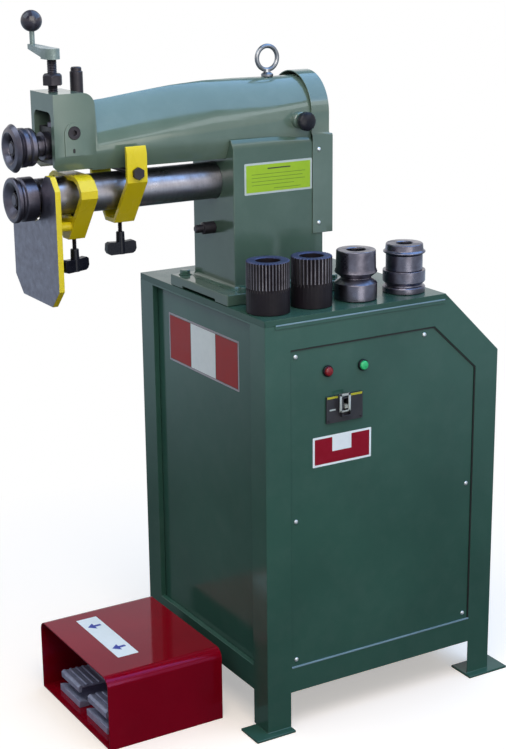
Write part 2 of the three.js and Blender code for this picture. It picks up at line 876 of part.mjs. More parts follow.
function upperArm() {
  const channel = box(
    [-armChannelHalf, armChannelHalf], [headFront, armRearEnd + 1],
    [armUnderside + armFloor, upperAxis + armChannelRise]);
  const screwHole = barZ(
    boreRadius(screwRadius, runningGap, smallSides), windowTop - windowCorner, headTop + 1,
    0, screwPlace, smallSides);
  const plugHole = barX(
    boreRadius(sidePlugRadius, seatGap, smallSides), windowHalfWidth - 1, headHalfWidth + plugBossRise + 1,
    headFront + sidePlugFromFace, sidePlugHeight, smallSides);
  const knobHole = barX(
    boreRadius(alignStudRadius, slidingGap, smallSides), armChannelHalf - 1,
    armRearHalfWidth + alignBossRise + 1, alignKnobPlace, alignKnobHeight, smallSides);
  const r = alignBossRadius;
  const bossDepth = 20;
  const length = bossDepth + alignBossRise;
  const boss = turnedX([[0, 0], [r, 0], [r, length - 2], [r - 2, length], [0, length]],
    armRearHalfWidth - bossDepth, alignKnobPlace, alignKnobHeight, smallSides);
  const bearingSeat = barY(
    rearBearingRadius + slidingGap, tiltPlace - rearBearingWidth, armRearEnd + 1, 0, upperAxis);
  return cut(union([armBody(0, armRearEnd), headBlock(), plugBoss(), boss]), [
    headWindow(), channel, screwHole, plugHole, knobHole, bearingSeat]);
}

function lowerTube() {
  const nose = 18;
  const inside = tubeRadius - tubeWall;
  const bore = boreRadius(shaftRadius, runningGap);
  const flange = tubeReach + columnWall + seatGap;
  const rear = flange + 8;
  return turnedY([
    [bore, 0], [tubeRadius, 0], [tubeRadius, flange], [tubeRadius + tubeFlange, flange],
    [tubeRadius + tubeFlange, rear], [inside, rear], [inside, nose], [bore, nose], [bore, 0],
  ], 0, tubeFront, lowerAxis);
}

// Outline of an involute gear drawn around its own centre
function gearOutline(teeth, pitchRadius, turn) {
  const module = (2 * pitchRadius) / teeth;
  const tip = pitchRadius + module * 0.95;
  const root = pitchRadius - module * 1.3;
  const pressure = (20 * Math.PI) / 180;
  const baseRadius = pitchRadius * Math.cos(pressure);
  const roll = (radius) => {
    const t = Math.sqrt(Math.max((radius / baseRadius) ** 2 - 1, 0));
    return t - Math.atan(t);
  };
  const halfTooth = Math.PI / (2 * teeth) - gearBacklash / (4 * pitchRadius) + roll(pitchRadius);
  const flank = [root, pitchRadius, tip];
  const shape = [];
  for (let i = 0; i < teeth; i += 1) {
    const centre = turn + (2 * Math.PI * i) / teeth;
    const rising = flank.map((radius) => [radius, centre - halfTooth + roll(radius)]);
    const falling = flank.map((radius) => [radius, centre + halfTooth - roll(radius)]).reverse();
    for (const [radius, angle] of [...rising, ...falling]) {
      shape.push([radius * Math.cos(angle), radius * Math.sin(angle)]);
    }
  }
  return shape;
}

function spurGear(axisHeight, turn) {
  const teeth = gearOutline(gearTeeth, shaftSpacing / 2, turn);
  const wheel = alongY(outline(teeth.map(([x, z]) => [x, z + axisHeight])), gearFront, gearRear);
  return cut(wheel, [barY(shaftRadius + seatGap, gearFront - 1, gearRear + 1, 0, axisHeight)]);
}

function drivenSprocket() {
  const rim = chainWidth / 2 - chainSideGap;
  const bore = boreRadius(shaftRadius, seatGap, smallSides);
  const hub = shaftRadius + sprocketHubWall;
  const end = -sprocketHubLength;
  return turnedY([
    [bore, end], [hub, end], [hub, -rim], [drivenRadius, -rim], [drivenRadius, rim], [bore, rim], [bore, end],
  ], 0, chainPlane, lowerAxis, smallSides);
}

// A spindle with a stub for the roll nut at its front and a collar that takes the end thrust
function spindle(axisHeight, collarFront, collarRear) {
  const r = shaftRadius;
  return turnedY([
    [0, rollFront + 5], [stubRadius, rollFront + 5], [stubRadius, rollFront + 20], [r, rollFront + 20],
    [r, collarFront], [r + 7, collarFront], [r + 7, collarRear], [r, collarRear],
    [r, gearRear + 0.8], [0, gearRear + 0.8],
  ], 0, 0, axisHeight);
}

function lowerShaft() {
  const collar = tubeFront - seatGap;
  return spindle(lowerAxis, collar - 4, collar);
}

function upperShaft() {
  const collar = blockFront - seatGap;
  return spindle(upperAxis, collar - 14, collar);
}

// The lower roll: a dished front disc, a groove, and a plain drum behind
function lowerRoll() {
  const bore = shaftRadius + seatGap;
  const r = lowerRollRadius;
  const length = lowerRollLength;
  return turnedY([
    [bore, 21], [bore, 12], [26, 5], [34, 0], [r - 2, 0], [r, 2], [r, 8], [r - 5, 12], [r - 5, 15],
    [r - 1, 18], [r - 1, length - 2], [r - 3, length], [bore, length], [bore, 21],
  ], 0, rollFront, lowerAxis);
}

// The upper roll: a disc with a vee edge, a neck, and a grooved collar
function upperRoll() {
  const bore = shaftRadius + seatGap;
  const r = upperRollRadius;
  const c = upperCollarRadius;
  const length = upperRollLength;
  return turnedY([
    [bore, 21], [bore, 12], [24, 4], [30, 0], [r - 6, 2], [r, 9], [r - 8, 16], [c - 4, 19], [c, 22], [c, 30],
    [c - 4, 33], [c - 1, 36], [c - 1, length - 3], [c - 3, length], [bore, length], [bore, 21],
  ], 0, rollFront, upperAxis);
}

function rollNut(axisHeight) {
  const nut = barY(rollNutRadius, rollFront + 6, rollFront + 19.5, 0, axisHeight, 6);
  return cut(nut, [barY(stubRadius + seatGap, rollFront + 5, rollFront + 21, 0, axisHeight, smallSides)]);
}

function bearingBlock() {
  const half = windowHalfWidth - slidingGap;
  const block = box([-half, half], [blockFront, blockRear], [upperAxis - blockRise, upperAxis + blockRise]);
  return cut(block, [barY(boreRadius(shaftRadius, runningGap), blockFront - 1, blockRear + 1, 0, upperAxis)]);
}

// The rear bearing has a ball shaped rim, so that it can tilt in its seat with the shaft
function rearBearing() {
  const r = rearBearingRadius;
  const half = rearBearingWidth / 2;
  const bore = boreRadius(shaftRadius, runningGap, hiddenSides);
  const crown = r - rearBearingCrown;
  return turnedY([
    [bore, -half], [crown, -half], [r, -half / 3], [r, half / 3], [crown, half], [bore, half], [bore, -half],
  ], 0, tiltPlace, upperAxis, hiddenSides);
}

function pressurePad() {
  return barZ(padRadius, padBottom, padBottom + padThickness, 0, screwPlace, hiddenSides);
}

function crankScrew() {
  return barZ(screwRadius, screwBottom, crankTop - screwCover - seatGap, 0, screwPlace, smallSides);
}

// A hexagon on the screw, turned down to a neck at its top
function stopCollar() {
  const low = headTop + collarAboveHead;
  const corner = collarAcrossFlats / 2 / Math.cos(Math.PI / 6);
  const hex = barZ(corner, low, low + collarThickness, 0, screwPlace, 6);
  const turned = turnedZ([
    [0, 0], [corner, 0], [corner, collarThickness - collarNeck], [corner - collarNeck, collarThickness],
    [0, collarThickness],
  ], 0, screwPlace, low);
  const bore = barZ(screwRadius + seatGap, low - 1, low + collarThickness + 1, 0, screwPlace, smallSides);
  return cut(hex.intersect(turned), [bore]);
}

// The crank tapers from a round ended hub to a thin tip, which rises a little above the hub
function crankArm() {
  const hub = crankHubWidth / 2;
  const hubEnd = crankHub / 2;
  const tip = crankTipWidth / 2;
  const reach = crankThrow + tip;
  const plan = new THREE.Shape();
  plan.moveTo(-reach, screwPlace - tip);
  plan.lineTo(-hubEnd, screwPlace - hub);
  plan.lineTo(hubEnd - hub, screwPlace - hub);
  plan.absarc(hubEnd - hub, screwPlace, hub, -Math.PI / 2, Math.PI / 2, false);
  plan.lineTo(-hubEnd, screwPlace + hub);
  plan.lineTo(-reach, screwPlace + tip);
  plan.closePath();
  const side = outline([
    [-reach - 1, crankTipTop - crankTipThickness], [-hubEnd, crankBottom + crankTipRise], [-hubEnd, crankBottom],
    [hubEnd + 1, crankBottom], [hubEnd + 1, crankTop], [-hubEnd, crankTop], [-reach - 1, crankTipTop],
  ]);
  const arm = alongZ(plan, crankBottom - 1, crankTipTop + 1)
    .intersect(alongY(side, screwPlace - crankHub, screwPlace + crankHub));
  const bore = barZ(screwRadius + seatGap, crankBottom - 1, crankTop - screwCover, 0, screwPlace, smallSides);
  const stem = barZ(
    gripStemRadius, crankTipTop - 1, crankTipTop + gripStemLength, -crankThrow, screwPlace, smallSides);
  return cut(arm, [bore]).add(stem);
}

function ballKnob() {
  const r = ballRadius;
  const flat = Math.sqrt(r * r - ballFlatRadius * ballFlatRadius);
  const profile = [[0, -flat], [ballFlatRadius, -flat]];
  const steps = 9;
  const start = Math.acos(flat / r);
  for (let i = 1; i < steps; i += 1) {
    const angle = start + ((Math.PI - start) * i) / steps;
    profile.push([r * Math.sin(angle), -r * Math.cos(angle)]);
  }
  profile.push([0, r]);
  const centre = crankTipTop + gripStemLength + seatGap + flat;
  return turnedZ(profile, -crankThrow, screwPlace, centre, smallSides);
}

function springPost() {
  const r = springPostRadius;
  const cap = springCapRadius;
  const shoulder = springPostHeight - springCapHeight;
  return turnedZ([
    [0, 0], [r, 0], [r, shoulder], [cap, shoulder + 1], [cap, springPostHeight - 2],
    [cap - 2, springPostHeight], [0, springPostHeight],
  ], 0, headFront + springPostFromFace, headTop + seatGap, smallSides);
}

function sidePlug() {
  const place = headFront + sidePlugFromFace;
  const face = headHalfWidth + plugBossRise + 1;
  const plug = barX(sidePlugRadius, windowHalfWidth + slidingGap, face, place, sidePlugHeight, smallSides);
  return cut(plug, [barX(sidePlugSocket, face - sidePlugSocketDepth, face + 1, place, sidePlugHeight, 6)]);
}

function alignKnob() {
  const face = armRearHalfWidth + alignBossRise + seatGap;
  const r = alignKnobRadius;
  const neck = alignNeckLength;
  const end = neck + alignKnobLength;
  const stud = barX(alignStudRadius, armChannelHalf + 6, face + 1, alignKnobPlace, alignKnobHeight, smallSides);
  const head = turnedX([
    [0, 0], [alignNeckRadius, 0], [alignNeckRadius, neck], [r - 2, neck + 1], [r, neck + 3], [r, end - 3],
    [r - 5, end], [0, end + 1],
  ], face, alignKnobPlace, alignKnobHeight, smallSides);
  return stud.add(head);
}

function lockStud() {
  const r = lockStudRadius;
  const neck = lockStudNeckRadius;
  const end = -lockStudLength;
  const chamfer = 2;
  return turnedY([
    [0, end], [neck - chamfer, end], [neck, end + chamfer], [neck, -lockStudFlange - chamfer],
    [r, -lockStudFlange], [r, -seatGap], [0, -seatGap],
  ], 0, columnFront, lowerAxis - tubeRadius - lockStudBelowTube, smallSides);
}

function eyeBolt() {
  const ring = new THREE.TorusGeometry(eyeRingRadius, eyeWireRadius, eyeRingFacets, smallSides);
  ring.rotateY(Math.PI / 2);
  const foot = Math.max(armTopAt(eyePlace - eyeFootRadius), armTopAt(eyePlace + eyeFootRadius)) + seatGap;
  const centre = foot + eyeStemRise + eyeRingRadius;
  ring.translate(0, eyePlace, centre);
  const stem = turnedZ([
    [0, 0], [eyeFootRadius, 0], [eyeFootRadius, 4], [eyeStemRadius + 1, 8], [eyeStemRadius, eyeStemRise + 2],
    [0, eyeStemRise + 2],
  ], 0, eyePlace, foot, smallSides);
  return solid(ring).add(stem);
}

function gaugePlate() {
  const w = plateHalfWidth;
  const c = plateCorner;
  const shape = new THREE.Shape();
  shape.moveTo(-w, plateBottom + c);
  shape.lineTo(-w + c, plateBottom);
  shape.lineTo(w - c, plateBottom);
  shape.lineTo(w, plateBottom + c);
  shape.lineTo(w, plateTop - hornSideCorner);
  shape.lineTo(w - hornCorner, plateTop);
  shape.lineTo(hornInner, plateTop);
  shape.lineTo(notchRadius, plateTop - hornCorner);
  shape.lineTo(notchRadius, lowerAxis);
  shape.absarc(0, lowerAxis, notchRadius, 0, -Math.PI, true);
  shape.lineTo(-notchRadius, plateLeftTop);
  shape.lineTo(-w + plateSmallCorner, plateLeftTop);
  shape.lineTo(-w, plateLeftTop - plateSmallCorner);
  shape.closePath();
  return alongY(shape, plateFront, plateRear);
}

// The same closed outline, moved inwards by one distance along every edge
function shrunk(points, distance) {
  const count = points.length;
  const corner = (i) => new THREE.Vector2(...points[(i + count) % count]);
  return points.map((point, i) => {
    const arriving = corner(i).sub(corner(i - 1)).normalize();
    const leaving = corner(i + 1).sub(corner(i)).normalize();
    const share = distance / (1 + arriving.dot(leaving));
    return [point[0] - share * (arriving.y + leaving.y), point[1] + share * (arriving.x + leaving.x)];
  });
}

// The right half of a yoke's outline is drawn from the foot up, and the left half mirrors it
function mirrored(rightHalf) {
  const leftHalf = rightHalf.map(([x, z]) => [-x, z]).reverse();
  return [...rightHalf, ...leftHalf];
}

// A flat bar bent round the tube and closed over its top, with a web and a saddle that hold two posts
function gaugeYoke() {
  const t = gaugeYokeThickness;
  const z = (rise) => lowerAxis + rise;
  const w = gaugeYokeHalfWidth;
  const top = gaugeYokeRise;
  const outer = mirrored([
    [gaugeYokeFoot, z(-gaugeYokeDrop)], [w, z(2)], [w, z(top - 24.5)], [w - 14, z(top - 7.5)], [w - 30, z(top)],
  ]);
  const ring = (inset) => outline(shrunk(outer, inset));
  const front = gaugeYokeCentre - gaugeYokeDepth / 2;
  const rear = gaugeYokeCentre + gaugeYokeDepth / 2;
  const strap = cut(alongY(ring(0), front, rear), [alongY(ring(t), front - 1, rear + 1)]);
  const webTop = -tubeRadius - gaugeWebDrop;
  const saddleTop = -tubeRadius - gaugeSaddleDrop;
  const aboveWeb = box([-w, w], [front - 1, rear], [z(webTop), z(top + 1)]);
  const aboveSaddle = box([-w, w], [front, rear + 1], [z(saddleTop), z(top + 1)]);
  const web = cut(alongY(ring(t - 2), front, front + t), [aboveWeb]);
  const saddle = cut(alongY(ring(1), front + t, rear), [aboveSaddle]);
  const posts = [-1, 1].map((side) => barY(
    postRadius, plateRear + seatGap, front + 1, (side * postSpacing) / 2, z(-postDrop), smallSides));
  const screwHole = barZ(
    boreRadius(wingStemRadius, seatGap, smallSides), z(-gaugeYokeDrop - 1), z(0), 0, gaugeYokeCentre, smallSides);
  const tubeHole = barY(boreRadius(tubeRadius, seatGap), front - 1, rear + 1, 0, lowerAxis);
  return cut(union([strap, web, saddle, ...posts]), [screwHole, tubeHole]);
}

// The rear yoke is open at its top, where a bolt over the tube ties its two sides together
function rearYoke() {
  const t = rearYokeThickness;
  const z = (rise) => lowerAxis + rise;
  const w = rearYokeHalfWidth;
  const outer = mirrored([
    [rearYokeFoot, z(-rearYokeDrop)], [w, z(rearYokeHip)], [w, z(rearYokeRise + t + 1)],
  ]);
  const front = rearYokeCentre - rearYokeDepth / 2;
  const rear = rearYokeCentre + rearYokeDepth / 2;
  const ring = (inset, more) => alongY(outline(shrunk(outer, inset)), front - more, rear + more);
  const flush = box([-w - 1, w + 1], [front - 1, rear + 1], [z(rearYokeRise), z(rearYokeRise + t + 2)]);
  const screwHole = barZ(
    boreRadius(wingStemRadius, seatGap, smallSides), z(-rearYokeDrop - 1), z(-rearYokeDrop + t + 1),
    0, rearYokeCentre, smallSides);
  const boltHoles = barX(
    boreRadius(crossBoltRadius, seatGap, smallSides), -w - 1, w + 1, rearYokeCentre, crossBoltHeight, smallSides);
  const lips = [-1, 1].map((side) => alongY(outline([
    [side * (w + 1), z(rearYokeRise - yokeLipDrop)], [side * (w + 1), z(rearYokeRise + 2)],
    [side * (w - yokeLipRun), z(rearYokeRise + 2)],
  ]), front - 1, rear + 1));
  return cut(ring(0, 0), [ring(t, 1), flush, screwHole, boltHoles, ...lips]);
}

const crossBoltHeight = lowerAxis + tubeRadius + crossBoltRadius + slidingGap;

function crossBolt() {
  const w = rearYokeHalfWidth;
  const h = crossBoltHeadHeight;
  const shank = barX(crossBoltRadius, -w - h - 1, w + 1, rearYokeCentre, crossBoltHeight, smallSides);
  const head = barX(crossBoltHeadRadius, w + seatGap, w + h, rearYokeCentre, crossBoltHeight, 6);
  const nut = barX(crossBoltNutRadius, -w - h, -w - seatGap, rearYokeCentre, crossBoltHeight, 6);
  return union([shank, head, nut]);
}

// Wing knob with a threaded stem that presses on the tube from below
function wingKnob(place, strapUnder, turn) {
  const tip = lowerAxis - tubeRadius - seatGap;
  const hubTop = strapUnder - wingStemShow;
  const wingTop = hubTop - wingHubLength;
  const wingLow = wingTop - wingHeight;
  const r = wingHubRadius;
  const stem = barZ(wingStemRadius, hubTop - 1, tip, 0, 0, smallSides);
  const hubLength = hubTop - wingLow;
  const hub = turnedZ([[0, 0], [r + 1, 0], [r, hubLength], [0, hubLength]], 0, 0, wingLow, smallSides);
  const s = wingSpan / 2;
  const bar = alongX(outline([
    [-s + wingCorner, wingLow], [s - wingCorner, wingLow], [s - 3, wingLow + 3], [s, wingLow + 9],
    [s - 1, wingTop - 1], [s - 4, wingTop + 1], [r + 1, wingTop], [-r - 1, wingTop], [-s + 4, wingTop + 1],
    [-s + 1, wingTop - 1],
    [-s, wingLow + 9], [-s + 3, wingLow + 3],
  ]), -wingThickness / 2, wingThickness / 2);
  return union([stem, hub, bar]).rotate([0, 0, turn]).translate([0, place, 0]);
}

function coverOutline(half, archRadius, top) {
  const shape = new THREE.Shape();
  shape.moveTo(-half, coverBottom);
  shape.lineTo(half, coverBottom);
  shape.lineTo(half, coverStep - coverShoulder);
  shape.lineTo(archRadius, coverStep + coverShoulder);
  shape.lineTo(archRadius, top - archRadius);
  shape.absarc(0, top - archRadius, archRadius, 0, Math.PI, false);
  shape.lineTo(-archRadius, coverStep + coverShoulder);
  shape.lineTo(-half, coverStep - coverShoulder);
  shape.closePath();
  return shape;
}

function gearCover() {
  const half = columnHalfWidth + seatGap + coverSheet;
  const t = coverSheet;
  const outer = alongY(coverOutline(half, coverArchRadius, coverTop), coverFront, coverUpperRear);
  const rearPart = alongY(coverOutline(half, coverArchRadius, coverTop), coverUpperRear - 1, coverLowerRear);
  const low = box([-half, half], [coverUpperRear - 2, coverLowerRear], [coverBottom, coverStep]);
  const shell = outer.add(rearPart.intersect(low));
  const inside = alongY(
    coverOutline(half - t, coverArchRadius - t, coverTop - t), coverFront - 1, coverUpperRear - t);
  const belowRoom = box(
    [-half + t, half - t], [coverFront, coverLowerRear - t], [coverBottom + t, coverStep - t]);
  const open = box(
    [-half + t, half - t], [coverFront - 1, columnRear + seatGap],
    [coverBottom - 1, coverStep - coverShoulder]);
  return cut(shell, [inside, belowRoom, open]);
}

function pushButton(place) {
  return turnedX([
    [0, -buttonDepth], [buttonRadius, -buttonDepth], [buttonRadius, buttonReach - 2],
    [buttonRadius - 3, buttonReach], [0, buttonReach],
  ], panelFace, place, buttonHeight, smallSides);
}

function buttonBezel(place) {
  const skin = panelFace + seatGap;
  const bore = boreRadius(buttonRadius, slidingGap, smallSides);
  return turnedX([
    [bore, 0], [bezelRadius, 0], [bezelRadius - 1, bezelReach], [bore, bezelReach], [bore, 0],
  ], skin, place, buttonHeight, smallSides);
}

const leverPlace = (switchFront + switchRear) / 2;
const leverHeight = (switchBottom + switchTop) / 2 + leverAboveMiddle;

// The switch has a face plate, a box behind the panel and a guard frame round its lever
function powerSwitch() {
  const skin = panelFace + seatGap;
  const plate = box([skin, skin + switchPlate], [switchFront, switchRear], [switchBottom, switchTop]);
  const face = skin + switchPlate;
  const rim = switchRim + 1;
  const body = box(
    [skin - switchDepth, skin + 1], [switchFront + rim, switchRear - rim], [switchBottom + rim, switchTop - rim]);
  const window = (halfWidth, halfHeight) => [
    [leverPlace - halfWidth, leverPlace + halfWidth], [leverHeight - halfHeight, leverHeight + halfHeight]];
  const slot = box([skin - leverSlotDepth, face + 1], ...window(leverSlotHalfWidth, leverSlotHalfHeight));
  const guard = box([skin + 1, face + guardReach], ...window(guardHalfWidth, guardHalfHeight));
  const guardHole = box(
    [face, face + guardReach + 1], ...window(guardHalfWidth - guardWall, guardHalfHeight - guardWall));
  return cut(union([plate, body, guard]), [guardHole, slot]);
}

function switchLever() {
  const skin = panelFace + seatGap;
  const depth = skin - leverPivotDepth;
  const pivot = barY(
    leverPivotRadius, leverPlace - leverPivotHalf, leverPlace + leverPivotHalf, depth, leverHeight, smallSides);
  const handle = box(
    [depth, skin + switchPlate + leverReach], [leverPlace - leverHalfWidth, leverPlace + leverHalfWidth],
    [leverHeight - leverHalfHeight, leverHeight + leverHalfHeight]);
  return pivot.add(handle);
}

// Crimping roll: flutes cut down its upper part, plain below, with a wide bore
function crimpRoll(index) {
  const radius = crimpRadii[index];
  const height = crimpHeights[index];
  const flutes = crimpFlutes[index];
  const place = crimpPlaces[index];
  const low = cabinetHeight + seatGap;
  const split = low + height * (1 - fluteShare);
  const root = radius - fluteDepth;
  const pitch = (2 * Math.PI) / flutes;
  const flute = [[0, radius], [fluteLand, radius], [(1 + fluteLand) / 2, root]];
  const star = [];
  for (let i = 0; i < flutes; i += 1) {
    for (const [share, r] of flute) {
      const angle = pitch * (i + share);
      star.push([spareLine + r * Math.cos(angle), place + r * Math.sin(angle)]);
    }
  }
  const fluted = alongZ(outline(star), split, low + height);
  const plain = barZ(radius, low, split + 0.5, spareLine, place);
  const bore = barZ(crimpBore, low - 1, low + height + 1, spareLine, place, smallSides);
  return cut(fluted.add(plain), [bore]);
}

// A spare forming roll stored on a peg: [radius, height] pairs from its lower face up
function spareRoll(place, low, bore, profile) {
  const top = heightOf(profile);
  return turnedZ([[bore, 0], ...profile, [bore, top], [bore, 0]], spareLine, place, low);
}

function heightOf(profile) {
  return profile[profile.length - 1][1];
}

const stackedLow = cabinetHeight + seatGap;
const beadRollLower = [[41, 0], [42, 1], [42, 33], [30, 43], [30, 44]];
const beadRollUpper = [[30, 0], [41, 9], [42, 10.5], [39.5, 18], [38.7, 51.5], [37.5, 53.5]];
const ringRollLower = [
  [42, 0], [42.5, 1], [42.5, 11], [41, 13], [37, 14], [37, 17], [42, 22], [42.5, 23], [42.5, 44], [42, 45]];
const ringRollUpper = [[36.7, 0], [36.7, 31], [42, 35], [42, 37], [38, 40], [37, 51], [35.5, 52.5]];

function pedalGuard() {
  const x0 = boxX - boxWidth / 2;
  const x1 = boxX + boxWidth / 2;
  const shell = (inset) => {
    const r = boxBend - inset;
    const top = boxHeight - inset;
    const shape = new THREE.Shape();
    shape.moveTo(x0 + inset, inset);
    shape.lineTo(x1 - inset, inset);
    shape.lineTo(x1 - inset, top - r);
    shape.absarc(x1 - inset - r, top - r, r, 0, Math.PI / 2, false);
    shape.absarc(x0 + inset + r, top - r, r, Math.PI / 2, Math.PI, false);
    shape.closePath();
    return shape;
  };
  const outside = alongY(shell(0), boxFront, boxRear, bendSteps);
  return cut(outside, [alongY(shell(boxSheet), boxFront - 1, boxRear - boxSheet, bendSteps)]);
}

const pedalHingePlace = pedalFront + pedalLength;

function pedalX(side) {
  return pedalCentre + (side * pedalPitch) / 2;
}

// Cast base of one pedal, with two ears for the hinge pin at its rear
function pedalBase(side) {
  const x = pedalX(side);
  const w = pedalWidth / 2;
  const low = boxSheet + seatGap;
  const rear = pedalHingePlace + earHalfFoot;
  const profile = outline([
    [pedalFront, low], [rear, low], [rear, low + baseFloorRear],
    [pedalFront + baseToeLength, low + baseFloorFront], [pedalFront + baseLipLength, low + pedalBaseHeight],
    [pedalFront, low + pedalBaseHeight],
  ]);
  const floor = alongX(profile, x - w, x + w);
  const ears = [-1, 1].map((end) => {
    const inner = x + end * (w - earThickness);
    const outer = x + end * w;
    const top = low + pedalHingeHeight + earHalfTop;
    return alongX(outline([
      [pedalHingePlace - earHalfFoot, low + 2], [rear, low + 2],
      [pedalHingePlace + earHalfTop, top], [pedalHingePlace - earHalfTop, top],
    ]), Math.min(inner, outer), Math.max(inner, outer));
  });
  const pinHole = barX(boreRadius(pedalHingeRadius, runningGap, smallSides), x - w - 1, x + w + 1,
    pedalHingePlace, low + pedalHingeHeight, smallSides);
  return cut(union([floor, ...ears]), [pinHole]);
}

// Treadle: a ribbed plate with a turned down front lip, on a pin between the ears
function treadle(side) {
  const x = pedalX(side);
  const w = pedalWidth / 2 - earThickness - slidingGap;
  const low = boxSheet + seatGap;
  const hinge = low + pedalHingeHeight;
  const noseTop = low + pedalRise;
  const rise = (y) => noseTop + ((hinge + 6 - noseTop) * (y - pedalFront)) / pedalLength;
  const top = [];
  for (let i = 0; i < ribCount; i += 1) {
    const start = pedalFront + baseLipLength + i * ribPitch;
    const end = start + ribWidth;
    const next = start + ribPitch - 1;
    top.push([start, rise(start) + ribHeight], [end, rise(end) + ribHeight]);
    top.push([end + 1, rise(end + 1)], [next, rise(next)]);
  }
  const section = outline([
    [pedalFront + 2, noseTop - treadleLip + 1], [pedalFront + 8, noseTop - treadleLip],
    [pedalFront + 10, noseTop - pedalPlate],
    [pedalHingePlace, rise(pedalHingePlace) - pedalPlate], [pedalHingePlace + 6, rise(pedalHingePlace)],
    ...top.reverse(), [pedalFront + 1, noseTop - 2],
  ]);
  const plate = alongX(section, x - w, x + w);
  const knuckle = barX(pedalHingeRadius + knuckleWall, x - w, x + w, pedalHingePlace, hinge, smallSides);
  const pin = barX(
    pedalHingeRadius, x - pedalWidth / 2, x + pedalWidth / 2, pedalHingePlace, hinge, smallSides);
  return union([plate, knuckle, pin]);
}

// Build every piece
show('cabinet_shell', cabinetShell(), 'cabinetGreen');
show('cabinet_top', cabinetTop(), 'cabinetGreen');
show('front_panel', frontPanel(), 'cabinetGreen');
show('control_panel', sidePanel(1), 'cabinetGreen');
show('left_panel', sidePanel(-1), 'cabinetGreen');
show('rear_panel', rearPanel(), 'cabinetGreen');
show('motor_shelf', motorShelf(), 'cabinetGreen');
show('gear_motor', gearMotor(), 'motorGrey');
show('motor_sprocket', motorSprocket(), 'steel');
show('drive_chain', driveChain(), 'blackOxide');
show('machine_base', machineBase(), 'machineGreen');
show('column', column(), 'machineGreen');
show('upper_arm', upperArm(), 'machineGreen');
show('lower_tube', lowerTube(), 'steel');
show('gear_cover', gearCover(), 'machineGreen');
show('lower_shaft', lowerShaft(), 'steel');
show('lower_roll', lowerRoll(), 'steel');
show('lower_roll_nut', rollNut(lowerAxis), 'blackOxide');
show('lower_gear', spurGear(lowerAxis, Math.PI / 2), 'steel');
show('driven_sprocket', drivenSprocket(), 'steel');
show('upper_shaft', upperShaft(), 'steel');
show('upper_roll', upperRoll(), 'steel');
show('upper_roll_nut', rollNut(upperAxis), 'blackOxide');
show('upper_gear', spurGear(upperAxis, Math.PI / 2), 'steel');
show('bearing_block', bearingBlock(), 'castGrey');
show('rear_bearing', rearBearing(), 'bronze');
show('pressure_pad', pressurePad(), 'steel');
show('crank_screw', crankScrew(), 'blackOxide');
show('stop_collar', stopCollar(), 'blackOxide');
show('crank_arm', crankArm(), 'greyCasting');
show('ball_knob', ballKnob(), 'blackPlastic');
show('spring_post', springPost(), 'blackOxide');
show('side_plug', sidePlug(), 'blackOxide');
show('align_knob', alignKnob(), 'blackPlastic');
show('lock_stud', lockStud(), 'blackOxide');
show('eye_bolt', eyeBolt(), 'greyCasting');
show('gauge_plate', gaugePlate(), 'steel');
show('gauge_yoke', gaugeYoke(), 'yellowPaint');
show('gauge_knob', wingKnob(gaugeYokeCentre, lowerAxis - gaugeYokeDrop, gaugeWingTurn), 'blackPlastic');
show('rear_yoke', rearYoke(), 'yellowPaint');
show('yoke_cross_bolt', crossBolt(), 'steel');
show('yoke_knob', wingKnob(rearYokeCentre, lowerAxis - rearYokeDrop, 0), 'blackPlastic');
show('red_button', pushButton(redButtonPlace), 'redLens');
show('green_button', pushButton(greenButtonPlace), 'greenLens');
show('red_bezel', buttonBezel(redButtonPlace), 'blackPlastic');
show('green_bezel', buttonBezel(greenButtonPlace), 'blackPlastic');
show('power_switch', powerSwitch(), 'blackPlastic');
show('switch_lever', switchLever(), 'greyCasting');
show('crimp_roll_front', crimpRoll(0), 'blackOxide');
show('crimp_roll_rear', crimpRoll(1), 'blackOxide');
show('bead_roll_lower', spareRoll(stackPlaces[0], stackedLow, beadBore, beadRollLower), 'steel');
show('bead_roll_upper', spareRoll(
  stackPlaces[0], stackedLow + heightOf(beadRollLower) + seatGap, beadBore, beadRollUpper), 'steel');
show('ring_roll_lower', spareRoll(stackPlaces[1], stackedLow, ringBore, ringRollLower), 'steel');
show('ring_roll_upper', spareRoll(
  stackPlaces[1], stackedLow + heightOf(ringRollLower) + seatGap, ringBore, ringRollUpper), 'steel');
show('pedal_guard', pedalGuard(), 'redPaint');
show('forward_pedal_base', pedalBase(-1), 'castGrey');
show('reverse_pedal_base', pedalBase(1), 'castGrey');
show('forward_pedal', treadle(-1), 'pedalGrey');
show('reverse_pedal', treadle(1), 'pedalGrey');

// The finished part stands with the middle of its outline over the origin
const limits = new THREE.Box3().setFromObject(machine);
machine.position.set(-(limits.min.x + limits.max.x) / 2, -(limits.min.y + limits.max.y) / 2, 0);

export default scene;
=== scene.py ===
# Sheet metal crimper: the finished look of the motor driven rotary machine and its pedal box.
# Sizes are in millimetres from the middle of the cabinet's front edge at floor level, and are
# turned to the frame's metres by at() and the piece makers below.
import json
import math

import bmesh
import bpy
from mathutils import Matrix, Vector

